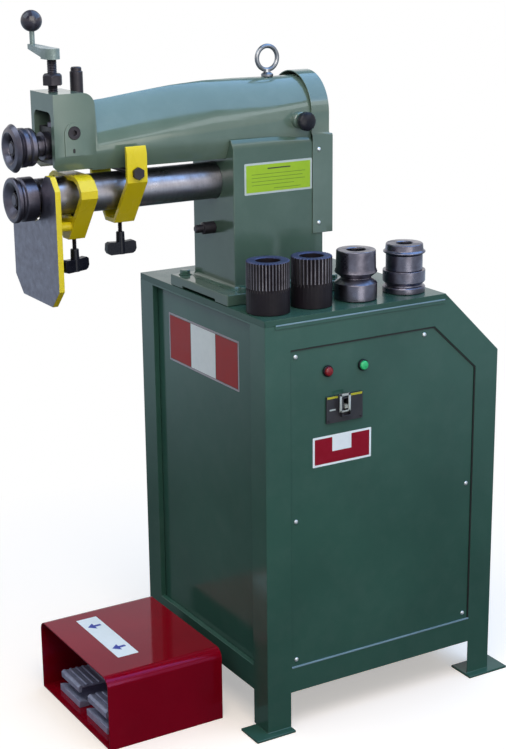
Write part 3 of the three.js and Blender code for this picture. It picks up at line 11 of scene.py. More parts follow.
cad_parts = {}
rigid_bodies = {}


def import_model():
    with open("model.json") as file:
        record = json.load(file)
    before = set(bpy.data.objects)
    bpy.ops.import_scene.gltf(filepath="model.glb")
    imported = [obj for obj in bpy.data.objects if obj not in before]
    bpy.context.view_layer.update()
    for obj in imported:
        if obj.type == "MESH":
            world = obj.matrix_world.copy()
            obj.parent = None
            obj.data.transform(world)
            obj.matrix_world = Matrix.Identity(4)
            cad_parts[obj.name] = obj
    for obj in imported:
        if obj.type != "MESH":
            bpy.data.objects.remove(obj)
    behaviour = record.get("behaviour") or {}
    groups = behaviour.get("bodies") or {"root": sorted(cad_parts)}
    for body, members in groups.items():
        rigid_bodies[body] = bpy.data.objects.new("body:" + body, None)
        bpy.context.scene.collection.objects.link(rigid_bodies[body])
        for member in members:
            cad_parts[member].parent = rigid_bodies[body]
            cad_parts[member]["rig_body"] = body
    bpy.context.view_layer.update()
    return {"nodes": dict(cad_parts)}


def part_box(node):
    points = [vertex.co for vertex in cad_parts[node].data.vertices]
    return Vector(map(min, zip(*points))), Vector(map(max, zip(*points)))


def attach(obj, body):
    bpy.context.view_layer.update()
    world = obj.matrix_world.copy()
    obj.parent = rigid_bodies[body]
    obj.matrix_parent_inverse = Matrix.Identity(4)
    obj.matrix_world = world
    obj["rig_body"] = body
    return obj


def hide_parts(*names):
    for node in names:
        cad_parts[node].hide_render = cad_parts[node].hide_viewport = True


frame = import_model()

MM = 0.001
FRONT_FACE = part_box("cabinet_top")[0][1]
AXES = {
    "X": Matrix(((0, 0, 1), (0, 1, 0), (-1, 0, 0))).to_4x4(),
    "Y": Matrix(((1, 0, 0), (0, 0, 1), (0, -1, 0))).to_4x4(),
    "Z": Matrix.Identity(4),
}

# Sizes shared by several pieces
SEAT_GAP = 0.3
LOWER_AXIS = 1082.6
UPPER_AXIS = 1177.1
ROLL_FRONT = -385.0
HEAD_FRONT = -316.0
HEAD_TOP = 1274.0
SCREW_PLACE = HEAD_FRONT + 23.5
CABINET_TOP = 855.0
BASE_TOP = 877.3
COLUMN_HALF = 81.0
COLUMN_FRONT = 38.0
COLUMN_REAR = 242.0
SIDE = 255.0
PANEL_FACE = 251.7
SPARE_LINE = 190.0
SHELL_SEAM = 842.9
REAR_SKIN = 559.3
COVER_FACE = 83.3
SWITCH_FACE = PANEL_FACE + 4.3
BUTTON_HEIGHT = 738
GUARD_TOP = 154
SHAFT_RADIUS = 19
SHAFT_REAR = 254.8
ROLL_BORE = 19.3
HAND = {1: "right", -1: "left"}


def at(x, y, z):
    """A place in the cabinet's millimetres as a point of the frame."""
    return Vector((x * MM, y * MM + FRONT_FACE, z * MM))


def linear(hex_colour):
    """An sRGB hex colour as linear values."""
    parts = [int(hex_colour[i:i + 2], 16) / 255 for i in (1, 3, 5)]
    return tuple(c / 12.92 if c <= 0.04045 else ((c + 0.055) / 1.055) ** 2.4
                 for c in parts) + (1.0,)


def add(tree, kind, inputs=None, **settings):
    """Adds a node; an input is a socket to link from or a plain value."""
    node = tree.nodes.new(kind)
    for name, value in settings.items():
        setattr(node, name, value)
    for key, value in (inputs or {}).items():
        if isinstance(value, bpy.types.NodeSocket):
            tree.links.new(value, node.inputs[key])
        else:
            node.inputs[key].default_value = value
    return node


# Materials

def surface(name):
    """An empty material, its node tree and the object's own coordinates."""
    made = bpy.data.materials.new(name)
    made.use_nodes = True
    tree = made.node_tree
    tree.nodes.clear()
    return made, tree, add(tree, "ShaderNodeTexCoord").outputs["Object"]


def noise(tree, vector, size_mm, detail=2.0, roughness=0.5, stretch=None):
    """Noise whose blotches are about size_mm across, drawn out along an axis by stretch."""
    if stretch:
        vector = add(tree, "ShaderNodeMapping", {
            "Vector": vector, "Scale": stretch}).outputs["Vector"]
    return add(tree, "ShaderNodeTexNoise", {
        "Vector": vector, "Scale": 1 / (size_mm * MM), "Detail": detail,
        "Roughness": roughness}).outputs[0]


def spread(tree, value, low, high, start=0.35, end=0.65):
    """Maps the useful middle of a noise to a range of values."""
    return add(tree, "ShaderNodeMapRange", {
        "Value": value, "From Min": start, "From Max": end,
        "To Min": low, "To Max": high}).outputs["Result"]


def mixed(tree, share, first, second):
    """Two colours blended by a share from 0 to 1."""
    return add(tree, "ShaderNodeMix", {0: share, 6: first, 7: second}, data_type="RGBA").outputs[2]


def relief(tree, height, depth_mm, strength):
    """Fine surface relief, depth_mm deep."""
    return add(tree, "ShaderNodeBump", {
        "Strength": strength, "Distance": depth_mm * MM, "Height": height}).outputs["Normal"]


def finished(tree, made, inputs):
    """Closes a material with its shader and output."""
    shader = add(tree, "ShaderNodeBsdfPrincipled", inputs)
    add(tree, "ShaderNodeOutputMaterial", {"Surface": shader.outputs["BSDF"]})
    return made


def enamel(name, colour, deep, dust, specular=0.5, rough=0.16, film_share=0.06, tint="#ffffff"):
    """Sprayed gloss enamel on steel: broad tone drift, a thin dusty film and orange peel."""
    made, tree, place = surface(name)
    drift = spread(tree, noise(tree, place, 260, 3.0), 0.0, 1.0)
    film = spread(tree, noise(tree, place, 70, 5.0, 0.65), 0.0, film_share, 0.45, 0.8)
    peel = noise(tree, place, 6.0, 1.0)
    smear = noise(tree, place, 60, 3.0, 0.5)
    tone = mixed(tree, drift, linear(colour), linear(deep))
    return finished(tree, made, {
        "Base Color": mixed(tree, film, tone, linear(dust)),
        "Roughness": spread(tree, smear, rough - 0.03, rough + 0.05),
        "Specular IOR Level": specular,
        "Specular Tint": linear(tint),
        "Normal": relief(tree, peel, 0.04, 0.35),
    })


def turned_steel(name, colour, worn, rough, axis, metallic=1.0, line_mm=0.9, specular=0.5):
    """Steel cut on a lathe: fine rings round the axis, stains and a low oily shine."""
    made, tree, place = surface(name)
    along = {"X": (1.0, 0.02, 0.02), "Y": (0.02, 1.0, 0.02), "Z": (0.02, 0.02, 1.0)}[axis]
    rings = noise(tree, place, line_mm, 2.0, 0.6, along)
    stain = noise(tree, place, 38, 5.0, 0.62)
    blot = spread(tree, stain, 0.0, 1.0, 0.38, 0.66)
    tone = mixed(tree, blot, linear(colour), linear(worn))
    return finished(tree, made, {
        "Base Color": mixed(tree, spread(tree, rings, 0.0, 0.14), tone, linear("#17161a")),
        "Metallic": metallic,
        "Roughness": spread(tree, stain, rough - 0.06, rough + 0.14),
        "Specular IOR Level": specular,
        "Normal": relief(tree, rings, 0.05, 0.35),
    })


def plain_steel(name, colour, worn, rough, grain_mm=1.2, metallic=1.0, dent=0.06):
    """Blackened, zinc plated or cast metal: mottled tone, small pits and uneven shine."""
    made, tree, place = surface(name)
    mottle = noise(tree, place, 16, 5.0, 0.6)
    grit = noise(tree, place, grain_mm, 2.0)
    return finished(tree, made, {
        "Base Color": mixed(tree, spread(tree, mottle, 0.0, 1.0), linear(colour), linear(worn)),
        "Metallic": metallic,
        "Roughness": spread(tree, mottle, rough - 0.07, rough + 0.1),
        "Normal": relief(tree, grit, dent, 0.5),
    })


def moulded(name, colour, pale, rough, specular=0.5, grain_mm=1.0):
    """Moulded plastic or printed vinyl: near even colour, faint scuffs and a fine grain."""
    made, tree, place = surface(name)
    scuff = noise(tree, place, 24, 5.0, 0.65)
    grain = noise(tree, place, grain_mm, 1.0)
    return finished(tree, made, {
        "Base Color": mixed(tree, spread(tree, scuff, 0.0, 0.5, 0.4, 0.75),
                            linear(colour), linear(pale)),
        "Roughness": spread(tree, scuff, rough - 0.04, rough + 0.12),
        "Specular IOR Level": specular,
        "Normal": relief(tree, grain, 0.03, 0.35),
    })


# Deep green of the cabinet: gloss with soft broad reflections and a trace of dust.
CABINET = enamel("dark_green_enamel", "#355a4e", "#2f5247", "#7d8d86", 0.5, 0.16)
# Less shiny copy of the cabinet green on the top plate, made darker as painted shade of the top.
SHADED_TOP_PLATE = enamel("shaded_top_green_enamel", "#33544a", "#2c4b41", "#6f7f78", 0.28, 0.2)
# Pale blue on thin lips: a painted highlight that shows as a fine light line.
HIGHLIGHT_PAINT = enamel("painted_highlight_enamel", "#7f98a5", "#6d8793", "#a9b6bd", 0.5, 0.2)
# Greyer green of the casting, glossy enough for a long highlight on the arm.
MACHINE = enamel("grey_green_enamel", "#5a6c61", "#53655a", "#a9b6ac", 0.7, 0.1)
# Darker copy of the arm's grey green: painted shade that sets the column, base and weld off from
# the arm.
SHADED_COLUMN_PAINT = enamel("shaded_grey_green_enamel", "#4a5f54", "#42574c", "#94a298", 0.55, 0.14)
# Strong warm yellow of the gauge and the rear stop, nearly even.
YELLOW = enamel("yellow_enamel", "#d2bd0e", "#c3ae0c", "#d8cf86", 0.35, 0.26)
# Deep wine red with crisp highlights on the pedal guard.
RED = enamel("deep_red_enamel", "#8c0218", "#7c0113", "#93525c", 0.45, 0.08, 0.02, "#d884d0")
# Quiet grey of the motor, which is hidden inside.
MOTOR = enamel("motor_grey_enamel", "#59626a", "#4a5259", "#8b9196", 0.4, 0.34)
# Bare tube with bright streaks and darker stains.
LENGTHWAYS_STEEL = turned_steel("drawn_steel", "#a5a2aa", "#85828a", 0.33, "Y")
# Dark oiled rolls and shafts with fine turning rings.
ROLL_STEEL = turned_steel("turned_roll_steel", "#66636e", "#4e4b56", 0.34, "Y")
# Brighter stored rolls whose bands catch the light.
SPARE_STEEL = turned_steel("stored_roll_steel", "#7c7985", "#5b5863", 0.28, "Z")
# Near black flutes that hold no light between the ridges.
FLUTED_STEEL = turned_steel("phosphated_roll_steel", "#1b161c", "#141015", 0.46, "Z", 0.0,
                            specular=0.18)
# Pale worn crests that make the flutes readable.
RIDGE_STEEL = turned_steel("worn_ridge_steel", "#79757b", "#5d5960", 0.38, "Z")
# Bluish tint on the upper face of the crimping rolls: a painted reflection of the sky.
SKY_SHEEN_STEEL = turned_steel("painted_sky_sheen_steel", "#333b63", "#2a3150", 0.4, "Z", 0.3)
# Grey mill finish of the gauge plate and the inner wheels, faintly grained.
PLATE_STEEL = plain_steel("rolled_plate_steel", "#787580", "#6f6c77", 0.34, 2.5, 1.0, 0.02)
# Blackened bolts, screw and collar with a low shine.
BLACKENED = plain_steel("blackened_steel", "#2b262c", "#211d24", 0.42, metallic=0.45)
# Small bright screw heads that dot the panels.
ZINC = plain_steel("zinc_plated_steel", "#dfe2e6", "#c3c7cc", 0.34, 0.8, 0.7)
# Dull silver of the lifting eye.
EYE_STEEL = plain_steel("forged_zinc_steel", "#8b8d92", "#6c6e74", 0.34)
# Pale grey casting of the crank, a little mottled.
CRANK_METAL = plain_steel("painted_crank_casting", "#788684", "#6a7875", 0.3, 1.6, 0.25)
# Dark machined iron inside the head.
CAST_IRON = plain_steel("machined_cast_iron", "#4c4b4e", "#39383b", 0.45, 1.6, 0.8)
# Bluish grey coat of the treadles.
PEDAL_COAT = plain_steel("grey_pedal_coat", "#b0b3cc", "#9a9db8", 0.42, 1.4, 0.1)
# Warm bearing metal, hidden inside.
BRONZE = plain_steel("bearing_bronze", "#9c7840", "#7f5f30", 0.38)
# Dark oiled chain, hidden inside.
CHAIN = plain_steel("oiled_chain_steel", "#2d2b2b", "#1c1a1a", 0.42)
# Black knobs and rings with small soft highlights.
BLACK = moulded("black_moulded_plastic", "#101019", "#191924", 0.26, 0.24)
# Ball knob with one clear highlight.
KNOB = moulded("black_bakelite", "#27222c", "#2d2832", 0.22, 0.5, 3.0)
# Dark red of the stop button.
RED_CAP = moulded("red_button_cap", "#7a0a16", "#8b1724", 0.24)
# Bright green of the start button.
GREEN_CAP = moulded("green_button_cap", "#25b56b", "#4ccb88", 0.2)
# Red fields of the front label.
LABEL_RED = moulded("red_vinyl", "#9c2424", "#a83a38", 0.34, 0.25)
# Deeper red fields of the control label.
LABEL_CRIMSON = moulded("crimson_vinyl", "#8c0a22", "#981c34", 0.34, 0.2)
# White plates that stand out from the paint.
LABEL_WHITE = moulded("white_vinyl", "#eef4f8", "#dfe7ec", 0.36, 0.3)
# Pale border of the front label.
LABEL_GREY = moulded("pale_grey_vinyl", "#a9a3ad", "#9c96a1", 0.36, 0.3)
# Blue arrows on the pedal plate.
LABEL_BLUE = moulded("blue_vinyl", "#2a3a9c", "#3848a6", 0.36, 0.3)
# Lime field of the column label, the brightest spot of the machine.
LABEL_LIME = moulded("lime_vinyl", "#94b51f", "#86a51c", 0.34)
# Silver rim of the column label and the switch's mark.
LABEL_SILVER = moulded("silver_vinyl", "#b3bcbc", "#9fa8a8", 0.3)
# Dark bar and outline on the labels.
LABEL_INK = moulded("dark_label_ink", "#2c3520", "#39422c", 0.4)
# Olive ruled lines on the lime field.
LABEL_OLIVE = moulded("olive_label_ink", "#5f7d1a", "#6a8820", 0.4)
# Thin yellow stripes on the switch.
LABEL_YELLOW = moulded("yellow_vinyl", "#b9b32a", "#a39d24", 0.36)
# Charcoal of the power switch's body.
SWITCH_BLACK = moulded("black_switch_plastic", "#26242a", "#38363c", 0.35)
# Pale grey of the lock-off frame and the lever.
BRACKET = moulded("pale_grey_plastic", "#a9ada9", "#8f938f", 0.35)
# Black painted shadow: the gap along the side openings and the inside of the oil hole.
PAINTED_SHADOW = moulded("painted_shadow_black", "#0d0d0f", "#151517", 0.6)


# Piece makers

def seat(piece, body, nodes=()):
    """Puts a finished piece on its body and the nodes that it stands for."""
    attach(piece, body)
    if nodes:
        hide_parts(*nodes)
    return piece


def made_object(name, bm, materials, sharp=32.0, bevel=0.0, segments=2, tidy=True, seam=None):
    """Turns a bmesh in metres into an object with smooth shading and eased edges.

    Edges that lie at the seam's height meet another sheet flush and stay square.
    """
    if tidy:
        bmesh.ops.remove_doubles(bm, verts=bm.verts, dist=1e-6)
        bmesh.ops.recalc_face_normals(bm, faces=bm.faces)
    if bevel:
        weight = bm.edges.layers.float.new("bevel_weight_edge")
        for edge in bm.edges:
            flush = seam is not None and all(abs(v.co.z / MM - seam) < 1.5 for v in edge.verts)
            folded = edge.is_manifold and edge.calc_face_angle() > math.radians(sharp)
            edge[weight] = float(folded and not flush)
    mesh = bpy.data.meshes.new(name)
    bm.to_mesh(mesh)
    bm.free()
    for one in materials if isinstance(materials, (list, tuple)) else [materials]:
        mesh.materials.append(one)
    piece = bpy.data.objects.new(name, mesh)
    bpy.context.scene.collection.objects.link(piece)
    mesh.shade_smooth()
    if bevel:
        if seam is not None:
            mesh.set_sharp_from_angle(angle=math.radians(sharp))
        eased = piece.modifiers.new("edges", "BEVEL")
        eased.width = bevel * MM
        eased.segments = segments
        eased.limit_method = "WEIGHT"
        eased.use_clamp_overlap = True
        flats = piece.modifiers.new("flats", "WEIGHTED_NORMAL")
        flats.mode = "FACE_AREA"
        flats.weight = 80
        flats.keep_sharp = True
    else:
        mesh.set_sharp_from_angle(angle=math.radians(sharp))
    return piece


def dressed(node, material, bevel, seam=None):
    """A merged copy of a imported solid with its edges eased, in place of that solid."""
    bm = bmesh.new()
    bm.from_mesh(frame["nodes"][node].data)
    bmesh.ops.remove_doubles(bm, verts=bm.verts, dist=2e-6)
    bmesh.ops.dissolve_limit(bm, angle_limit=math.radians(0.4), verts=bm.verts, edges=bm.edges)
    piece = made_object(node + "_finish", bm, material, bevel=bevel, tidy=False, seam=seam)
    return seat(piece, frame["nodes"][node]["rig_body"], [node])


def spun(bm, profile, axis="Z", centre=(0.0, 0.0, 0.0), steps=64):
    """Spins [radius, place along the axis] points into a closed turned shape."""
    start = set(bm.verts)
    verts = [bm.verts.new((r * MM, 0.0, t * MM)) for r, t in profile]
    edges = [bm.edges.new(pair) for pair in zip(verts, verts[1:])]
    bmesh.ops.spin(bm, geom=verts + edges, cent=(0, 0, 0), axis=(0, 0, 1), dvec=(0, 0, 0),
                   angle=2 * math.pi, steps=steps, use_merge=True)
    fresh = [v for v in bm.verts if v not in start]
    bmesh.ops.remove_doubles(bm, verts=fresh, dist=1e-7)
    fresh = [v for v in bm.verts if v not in start]
    bmesh.ops.transform(bm, matrix=Matrix.Translation(at(*centre)) @ AXES[axis], verts=fresh)


def turned(name, profile, axis, centre, material, body, nodes=(), steps=64, bevel=0.5):
    """A turned piece from its profile, seated on its body."""
    bm = bmesh.new()
    spun(bm, profile, axis, centre, steps)
    seat(made_object(name, bm, material, bevel=bevel), body, nodes)


def prism(bm, outline, axis, low, high):
    """Extrudes an outline in millimetres along X, Y or Z.

    Its points are the two other axes, in that order.
    """
    def point(u, v, w):
        return {"X": at(w, u, v), "Y": at(u, w, v), "Z": at(u, v, w)}[axis]

    face = bm.faces.new([bm.verts.new(point(u, v, low)) for u, v in outline])
    grown = bmesh.ops.extrude_face_region(bm, geom=[face])["geom"]
    moved = [g for g in grown if isinstance(g, bmesh.types.BMVert)]
    shift = point(0, 0, high) - point(0, 0, low)
    bmesh.ops.translate(bm, vec=shift, verts=moved)


def block(bm, x, y, z):
    """A box from its three ranges."""
    prism(bm, [(x[0], y[0]), (x[1], y[0]), (x[1], y[1]), (x[0], y[1])], "Z", z[0], z[1])


def arc(centre_u, centre_v, radius, start, end, steps):
    """Points on an arc, in degrees."""
    angles = [math.radians(start + (end - start) * i / steps) for i in range(steps + 1)]
    return [(centre_u + radius * math.cos(a), centre_v + radius * math.sin(a)) for a in angles]


# Carried-over solids with eased edges

for node, material, slot, bevel in (
        ("front_panel", CABINET, "cabinet_green", 0.5),
        ("control_panel", CABINET, "cabinet_green", 0.4),
        ("left_panel", CABINET, "cabinet_green", 0.4),
        ("rear_panel", CABINET, "cabinet_green", 0.5),
        # The base and the column take the darker copy of the machine green, painted shade.
        ("machine_base", SHADED_COLUMN_PAINT, "machine_green", 2.0),
        ("column", SHADED_COLUMN_PAINT, "machine_green", 1.6),
        ("upper_arm", MACHINE, "machine_green", 2.0),
        ("gear_cover", MACHINE, "machine_green", 0.7),
        ("bearing_block", CAST_IRON, "cast_grey", 1.0),
        ("crank_arm", CRANK_METAL, "grey_casting", 1.6),
        ("stop_collar", BLACKENED, "black_oxide", 0.8),
        ("gauge_yoke", YELLOW, "yellow_paint", 1.2),
        ("rear_yoke", YELLOW, "yellow_paint", 1.2),
        ("yoke_cross_bolt", BLACKENED, "steel", 0.7),
        ("lower_roll_nut", BLACKENED, "black_oxide", 0.8),
        ("upper_roll_nut", BLACKENED, "black_oxide", 0.8),
        ("power_switch", SWITCH_BLACK, "black_plastic", 0.5),
        ("switch_lever", BRACKET, "grey_casting", 0.6),
        ("side_plug", BLACKENED, "black_oxide", 0.7),
        ("pedal_guard", RED, "red_paint", 0.9),
        ("forward_pedal_base", PEDAL_COAT, "cast_grey", 1.0),
        ("reverse_pedal_base", PEDAL_COAT, "cast_grey", 1.0),
        ("forward_pedal", PEDAL_COAT, "pedal_grey", 0.8),
        ("reverse_pedal", PEDAL_COAT, "pedal_grey", 0.8)):
    dressed(node, material, bevel)

gauge_plate = dressed("gauge_plate", PLATE_STEEL, 0.6)
gauge_plate.data.materials.append(YELLOW)
for face in gauge_plate.data.polygons:
    face.material_index = int(face.normal.y > -0.9)
dressed("cabinet_shell", CABINET, 1.6, seam=SHELL_SEAM)
# The top plate takes the darker copy of the cabinet green, painted shade.
dressed("cabinet_top", SHADED_TOP_PLATE, 1.6, seam=SHELL_SEAM)

# Solids that stay as packed and only get a finish
for node, material in (
        ("motor_shelf", CABINET), ("gear_motor", MOTOR), ("motor_sprocket", PLATE_STEEL),
        ("drive_chain", CHAIN), ("driven_sprocket", PLATE_STEEL), ("lower_gear", PLATE_STEEL),
        ("upper_gear", PLATE_STEEL), ("rear_bearing", BRONZE), ("pressure_pad", PLATE_STEEL)):
    for material_slot in frame["nodes"][node].material_slots:
        material_slot.material = material

# Turned pieces of the working end

turned("tube_finish", [
    (19.1, 0), (36, 0), (36, 382.3), (39, 382.3), (39, 390.3), (27, 390.3), (27, 18), (19.1, 18),
    (19.1, 0)], "Y", (0, -336, LOWER_AXIS), LENGTHWAYS_STEEL,
    "machine_frame", ["lower_tube"], 80, 0.8)


def spindle(name, axis_height, collar_front, collar_rear, body, node):
    """Shaft with a thin front end for its nut and a collar behind its roll."""
    turned(name, [
        (0, -380), (10, -380), (10, -365), (SHAFT_RADIUS, -365), (SHAFT_RADIUS, collar_front),
        (26, collar_front), (26, collar_rear), (SHAFT_RADIUS, collar_rear),
        (SHAFT_RADIUS, SHAFT_REAR), (0, SHAFT_REAR)],
        "Y", (0, 0, axis_height), ROLL_STEEL, body, [node])


spindle("lower_spindle_finish", LOWER_AXIS, -340.3, -336.3, "lower_spindle", "lower_shaft")
spindle("upper_spindle_finish", UPPER_AXIS, -321.3, -307.3, "upper_spindle", "upper_shaft")

turned("lower_roll_finish", [
    (ROLL_BORE, 21), (ROLL_BORE, 12), (26, 5), (34, 0), (40, 0), (42, 2), (42, 8), (37, 12),
    (37, 15), (41, 18), (41, 40), (39, 42), (ROLL_BORE, 42), (ROLL_BORE, 21)],
    "Y", (0, ROLL_FRONT, LOWER_AXIS), ROLL_STEEL, "lower_spindle", ["lower_roll"], 96)
turned("upper_roll_finish", [
    (ROLL_BORE, 21), (ROLL_BORE, 12), (24, 4), (30, 0), (38.4, 2), (44.4, 9), (36.4, 16),
    (32, 19), (36, 22), (36, 30), (32, 33), (35, 36), (35, 43), (33, 46), (ROLL_BORE, 46),
    (ROLL_BORE, 21)],
    "Y", (0, ROLL_FRONT, UPPER_AXIS), ROLL_STEEL, "upper_spindle", ["upper_roll"], 96)


def screw_thread(name, radius, low, high, pitch, centre, body, nodes=()):
    """A blackened stem with its thread as rings, one for each pitch."""
    x, y = centre
    profile = [(0, low), (radius - 0.6, low)]
    z = low
    while z + pitch < high:
        profile += [(radius, z + 0.35 * pitch), (radius - 0.9, z + 0.85 * pitch)]
        z += pitch
    profile += [(radius - 0.6, high), (0, high)]
    turned(name, profile, "Z", (x, y, 0), BLACKENED, body, nodes, 32, 0.0)


screw_thread("crank_screw_finish", 9.0, 1219.7, 1348.5, 3.0, (0, SCREW_PLACE),
             "crank", ["crank_screw"])

BALL_RADIUS = 19.9
NECK_RADIUS = 7
NECK_TOP = 1377.8
NECK_FROM_CENTRE = -18.63
BALL_CENTRE = NECK_TOP + math.sqrt(BALL_RADIUS ** 2 - NECK_RADIUS ** 2)
ball = [(BALL_RADIUS * math.cos(math.radians(a)), BALL_RADIUS * math.sin(math.radians(a)))
        for a in range(-66, 90, 6)]
turned("ball_knob_finish",
       [(0, NECK_FROM_CENTRE), (NECK_RADIUS, NECK_FROM_CENTRE)] + ball + [(0, BALL_RADIUS)],
       "Z", (-85, SCREW_PLACE, BALL_CENTRE), KNOB, "crank", ["ball_knob"], 48, 0.0)

turned("spring_post_finish", [
    (0, -8), (12, -8), (12, 33.5), (10, 34.5), (10, 40), (8, 42), (0, 42)],
    "Z", (0, HEAD_FRONT + 71, HEAD_TOP + SEAT_GAP), BLACKENED,
    "machine_frame", ["spring_post"], 48, 0.5)

turned("lock_stud_finish", [
    (0, -42), (6, -42), (8, -40), (8, -27), (12, -25), (12, -0.3), (0, -0.3)],
    "Y", (0, COLUMN_FRONT, 989), BLACKENED, "machine_frame", ["lock_stud"], 40, 0.5)


def align_knob():
    """Round knob with a grip of shallow flutes on the arm's side."""
    centre = (84.3, 191, 1195.5)
    flutes = 20
    flute_depth = 0.9
    grip_radius = 17.5
    bm = bmesh.new()
    spun(bm, [(0, -49), (5.5, -49), (5.5, 0), (9, 0), (9, 9), (16.5, 10), (18.5, 12), (18.5, 22),
              (13.5, 25), (0, 26)], "X", centre, 60)
    middle = at(*centre)
    for v in bm.verts:
        arm = v.co - middle
        reach = math.hypot(arm.y, arm.z)
        if reach > grip_radius * MM:
            angle = math.atan2(arm.z, arm.y)
            cut = flute_depth * MM * (0.5 + 0.5 * math.cos(flutes * angle))
            v.co.y = middle.y + arm.y * (reach - cut) / reach
            v.co.z = middle.z + arm.z * (reach - cut) / reach
    piece = made_object("align_knob_finish", bm, BLACK, 40.0)
    seat(piece, "align_screw", ["align_knob"])


align_knob()


def eye_bolt():
    """Lifting eye: a forged ring on a collar."""
    place = 164
    ring_radius = 23
    wire_radius = 4.5
    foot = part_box("eye_bolt")[0][2] / MM
    ring_centre = foot + 12 + ring_radius
    bm = bmesh.new()
    circle = bmesh.ops.create_circle(
        bm, cap_ends=False, segments=16, radius=wire_radius * MM)["verts"]
    bmesh.ops.translate(bm, vec=(ring_radius * MM, 0, 0), verts=circle)
    bmesh.ops.rotate(bm, cent=(ring_radius * MM, 0, 0),
                     matrix=Matrix.Rotation(math.pi / 2, 3, "X"), verts=circle)
    bmesh.ops.spin(bm, geom=list(bm.verts) + list(bm.edges), cent=(0, 0, 0), axis=(0, 0, 1),
                   dvec=(0, 0, 0), angle=2 * math.pi, steps=48, use_merge=True)
    bmesh.ops.remove_doubles(bm, verts=bm.verts, dist=1e-7)
    upright = Matrix.Translation(at(0, place, ring_centre)) @ Matrix.Rotation(math.pi / 2, 4, "Y")
    bmesh.ops.transform(bm, matrix=upright, verts=bm.verts)
    spun(bm, [(0, 0), (12, 0), (12, 4), (7, 8), (6, 14), (0, 14)], "Z", (0, place, foot), 40)
    piece = made_object("eye_bolt_finish", bm, EYE_STEEL, 40.0)
    seat(piece, "machine_frame", ["eye_bolt"])


eye_bolt()


def wing_knob(name, place, hub_top, turn, body, node):
    """Moulded wing knob under a yoke, with its threaded stem."""
    top = hub_top - 19.5
    low = top - 24
    stem_top = LOWER_AXIS - 36.3
    bm = bmesh.new()
    prism(bm, [(-23, low), (23, low), (28, low + 3), (31, low + 9), (30, top - 2), (25, top + 1),
               (9, top), (-9, top), (-25, top + 1), (-30, top - 2), (-31, low + 9),
               (-28, low + 3)], "X", -7, 7)
    spun(bm, [(0, low), (9, low), (8, hub_top - 1), (7, hub_top), (0, hub_top)],
         "Z", (0, 0, 0), 32)
    bmesh.ops.rotate(bm, cent=at(0, 0, 0),
                     matrix=Matrix.Rotation(math.radians(turn), 3, "Z"), verts=bm.verts)
    bmesh.ops.translate(bm, vec=at(0, place, 0) - at(0, 0, 0), verts=bm.verts)
    seat(made_object(name, bm, BLACK, 32.0, 2.2, 3), body, [node])
    screw_thread(name + "_stem", 4.25, hub_top - 1, stem_top, 1.5, (0, place), body)


wing_knob("gauge_wing_knob", -263, LOWER_AXIS - 82 - 21, 20, "gauge_clamp", "gauge_knob")
wing_knob("stop_wing_knob", -166.8, LOWER_AXIS - 59 - 21, 0, "stop_clamp", "yoke_knob")

# Push buttons and their rings

for colour, cap, place, body in (
        ("red", RED_CAP, 141.3, "stop_button"), ("green", GREEN_CAP, 223.3, "start_button")):
    turned(colour + "_button_cap", [(0, -12), (9, -12), (9, 7), (7.5, 9.2), (4, 10), (0, 10)],
           "X", (PANEL_FACE, place, BUTTON_HEIGHT), cap,
           body, [colour + "_button"], 40, 0.4)
    turned(colour + "_button_ring",
           [(9.6, 0), (11.5, 0), (11.5, 3.6), (10.4, 5), (9.6, 5), (9.6, 0)],
           "X", (PANEL_FACE + SEAT_GAP, place, BUTTON_HEIGHT), BLACK,
           "machine_frame", [colour + "_bezel"], 40, 0.3)

# Spare rolls on the cabinet's pegs


def fluted_roll(name, place, radius, height, flutes, body, node):
    """Crimping roll: vee flutes cut down from its top, a plain drum below and a wide bore."""
    steps = 6
    depth = 3.0
    bore = 24.0
    chamfer = 1.6
    count = flutes * steps
    low = CABINET_TOP + SEAT_GAP
    top = low + height
    split = low + height * 0.47
    levels = [(bore, low + 1, 0), (bore + 1, low, 0), (radius - 1, low, 0), (radius, low + 1, 0),
              (radius, split - 4, 0), (radius, split + 2, 1), (radius, top - chamfer, 1),
              (radius - chamfer, top, 1), (bore + 1.5, top, 0), (bore, top - 1.5, 0),
              (bore, low + 1, 0)]
    centre = at(SPARE_LINE, place, 0)

    def shape(ring, reach, z, grooved):
        for v in ring:
            angle = math.atan2(v.co.y - centre.y, v.co.x - centre.x)
            share = round(angle / (2 * math.pi) * count) % steps / steps
            groove = max(0.0, 1 - abs(share - 0.5) / 0.4)
            r = (reach - depth * groove * grooved) * MM
            v.co = centre + Vector((r * math.cos(angle), r * math.sin(angle), z * MM))

    bm = bmesh.new()
    ring = bmesh.ops.create_circle(bm, cap_ends=False, segments=count, radius=MM)["verts"]
    bmesh.ops.translate(bm, vec=centre, verts=ring)
    shape(ring, *levels[0])
    edges = list(bm.edges)
    for level in levels[1:]:
        grown = bmesh.ops.extrude_edge_only(bm, edges=edges)["geom"]
        edges = [g for g in grown if isinstance(g, bmesh.types.BMEdge)]
        shape([g for g in grown if isinstance(g, bmesh.types.BMVert)], *level)
    bmesh.ops.remove_doubles(bm, verts=bm.verts, dist=1e-6)
    for face in bm.faces:
        middle = face.calc_center_median()
        reach = (middle - centre).xy.length / MM
        height_here = middle.z / MM
        face.material_index = int(reach > radius - 0.9 and split + 2 < height_here < top - chamfer)
        # The upper face takes the painted sky reflection.
        if height_here > top - 1:
            face.material_index = 2
    piece = made_object(name, bm, [FLUTED_STEEL, RIDGE_STEEL, SKY_SHEEN_STEEL], 24.0)
    seat(piece, body, [node])


fluted_roll("front_crimping_roll", 47, 42, 100, 40, "spare_crimp_front", "crimp_roll_front")
fluted_roll("rear_crimping_roll", 145, 40, 98, 32, "spare_crimp_rear", "crimp_roll_rear")

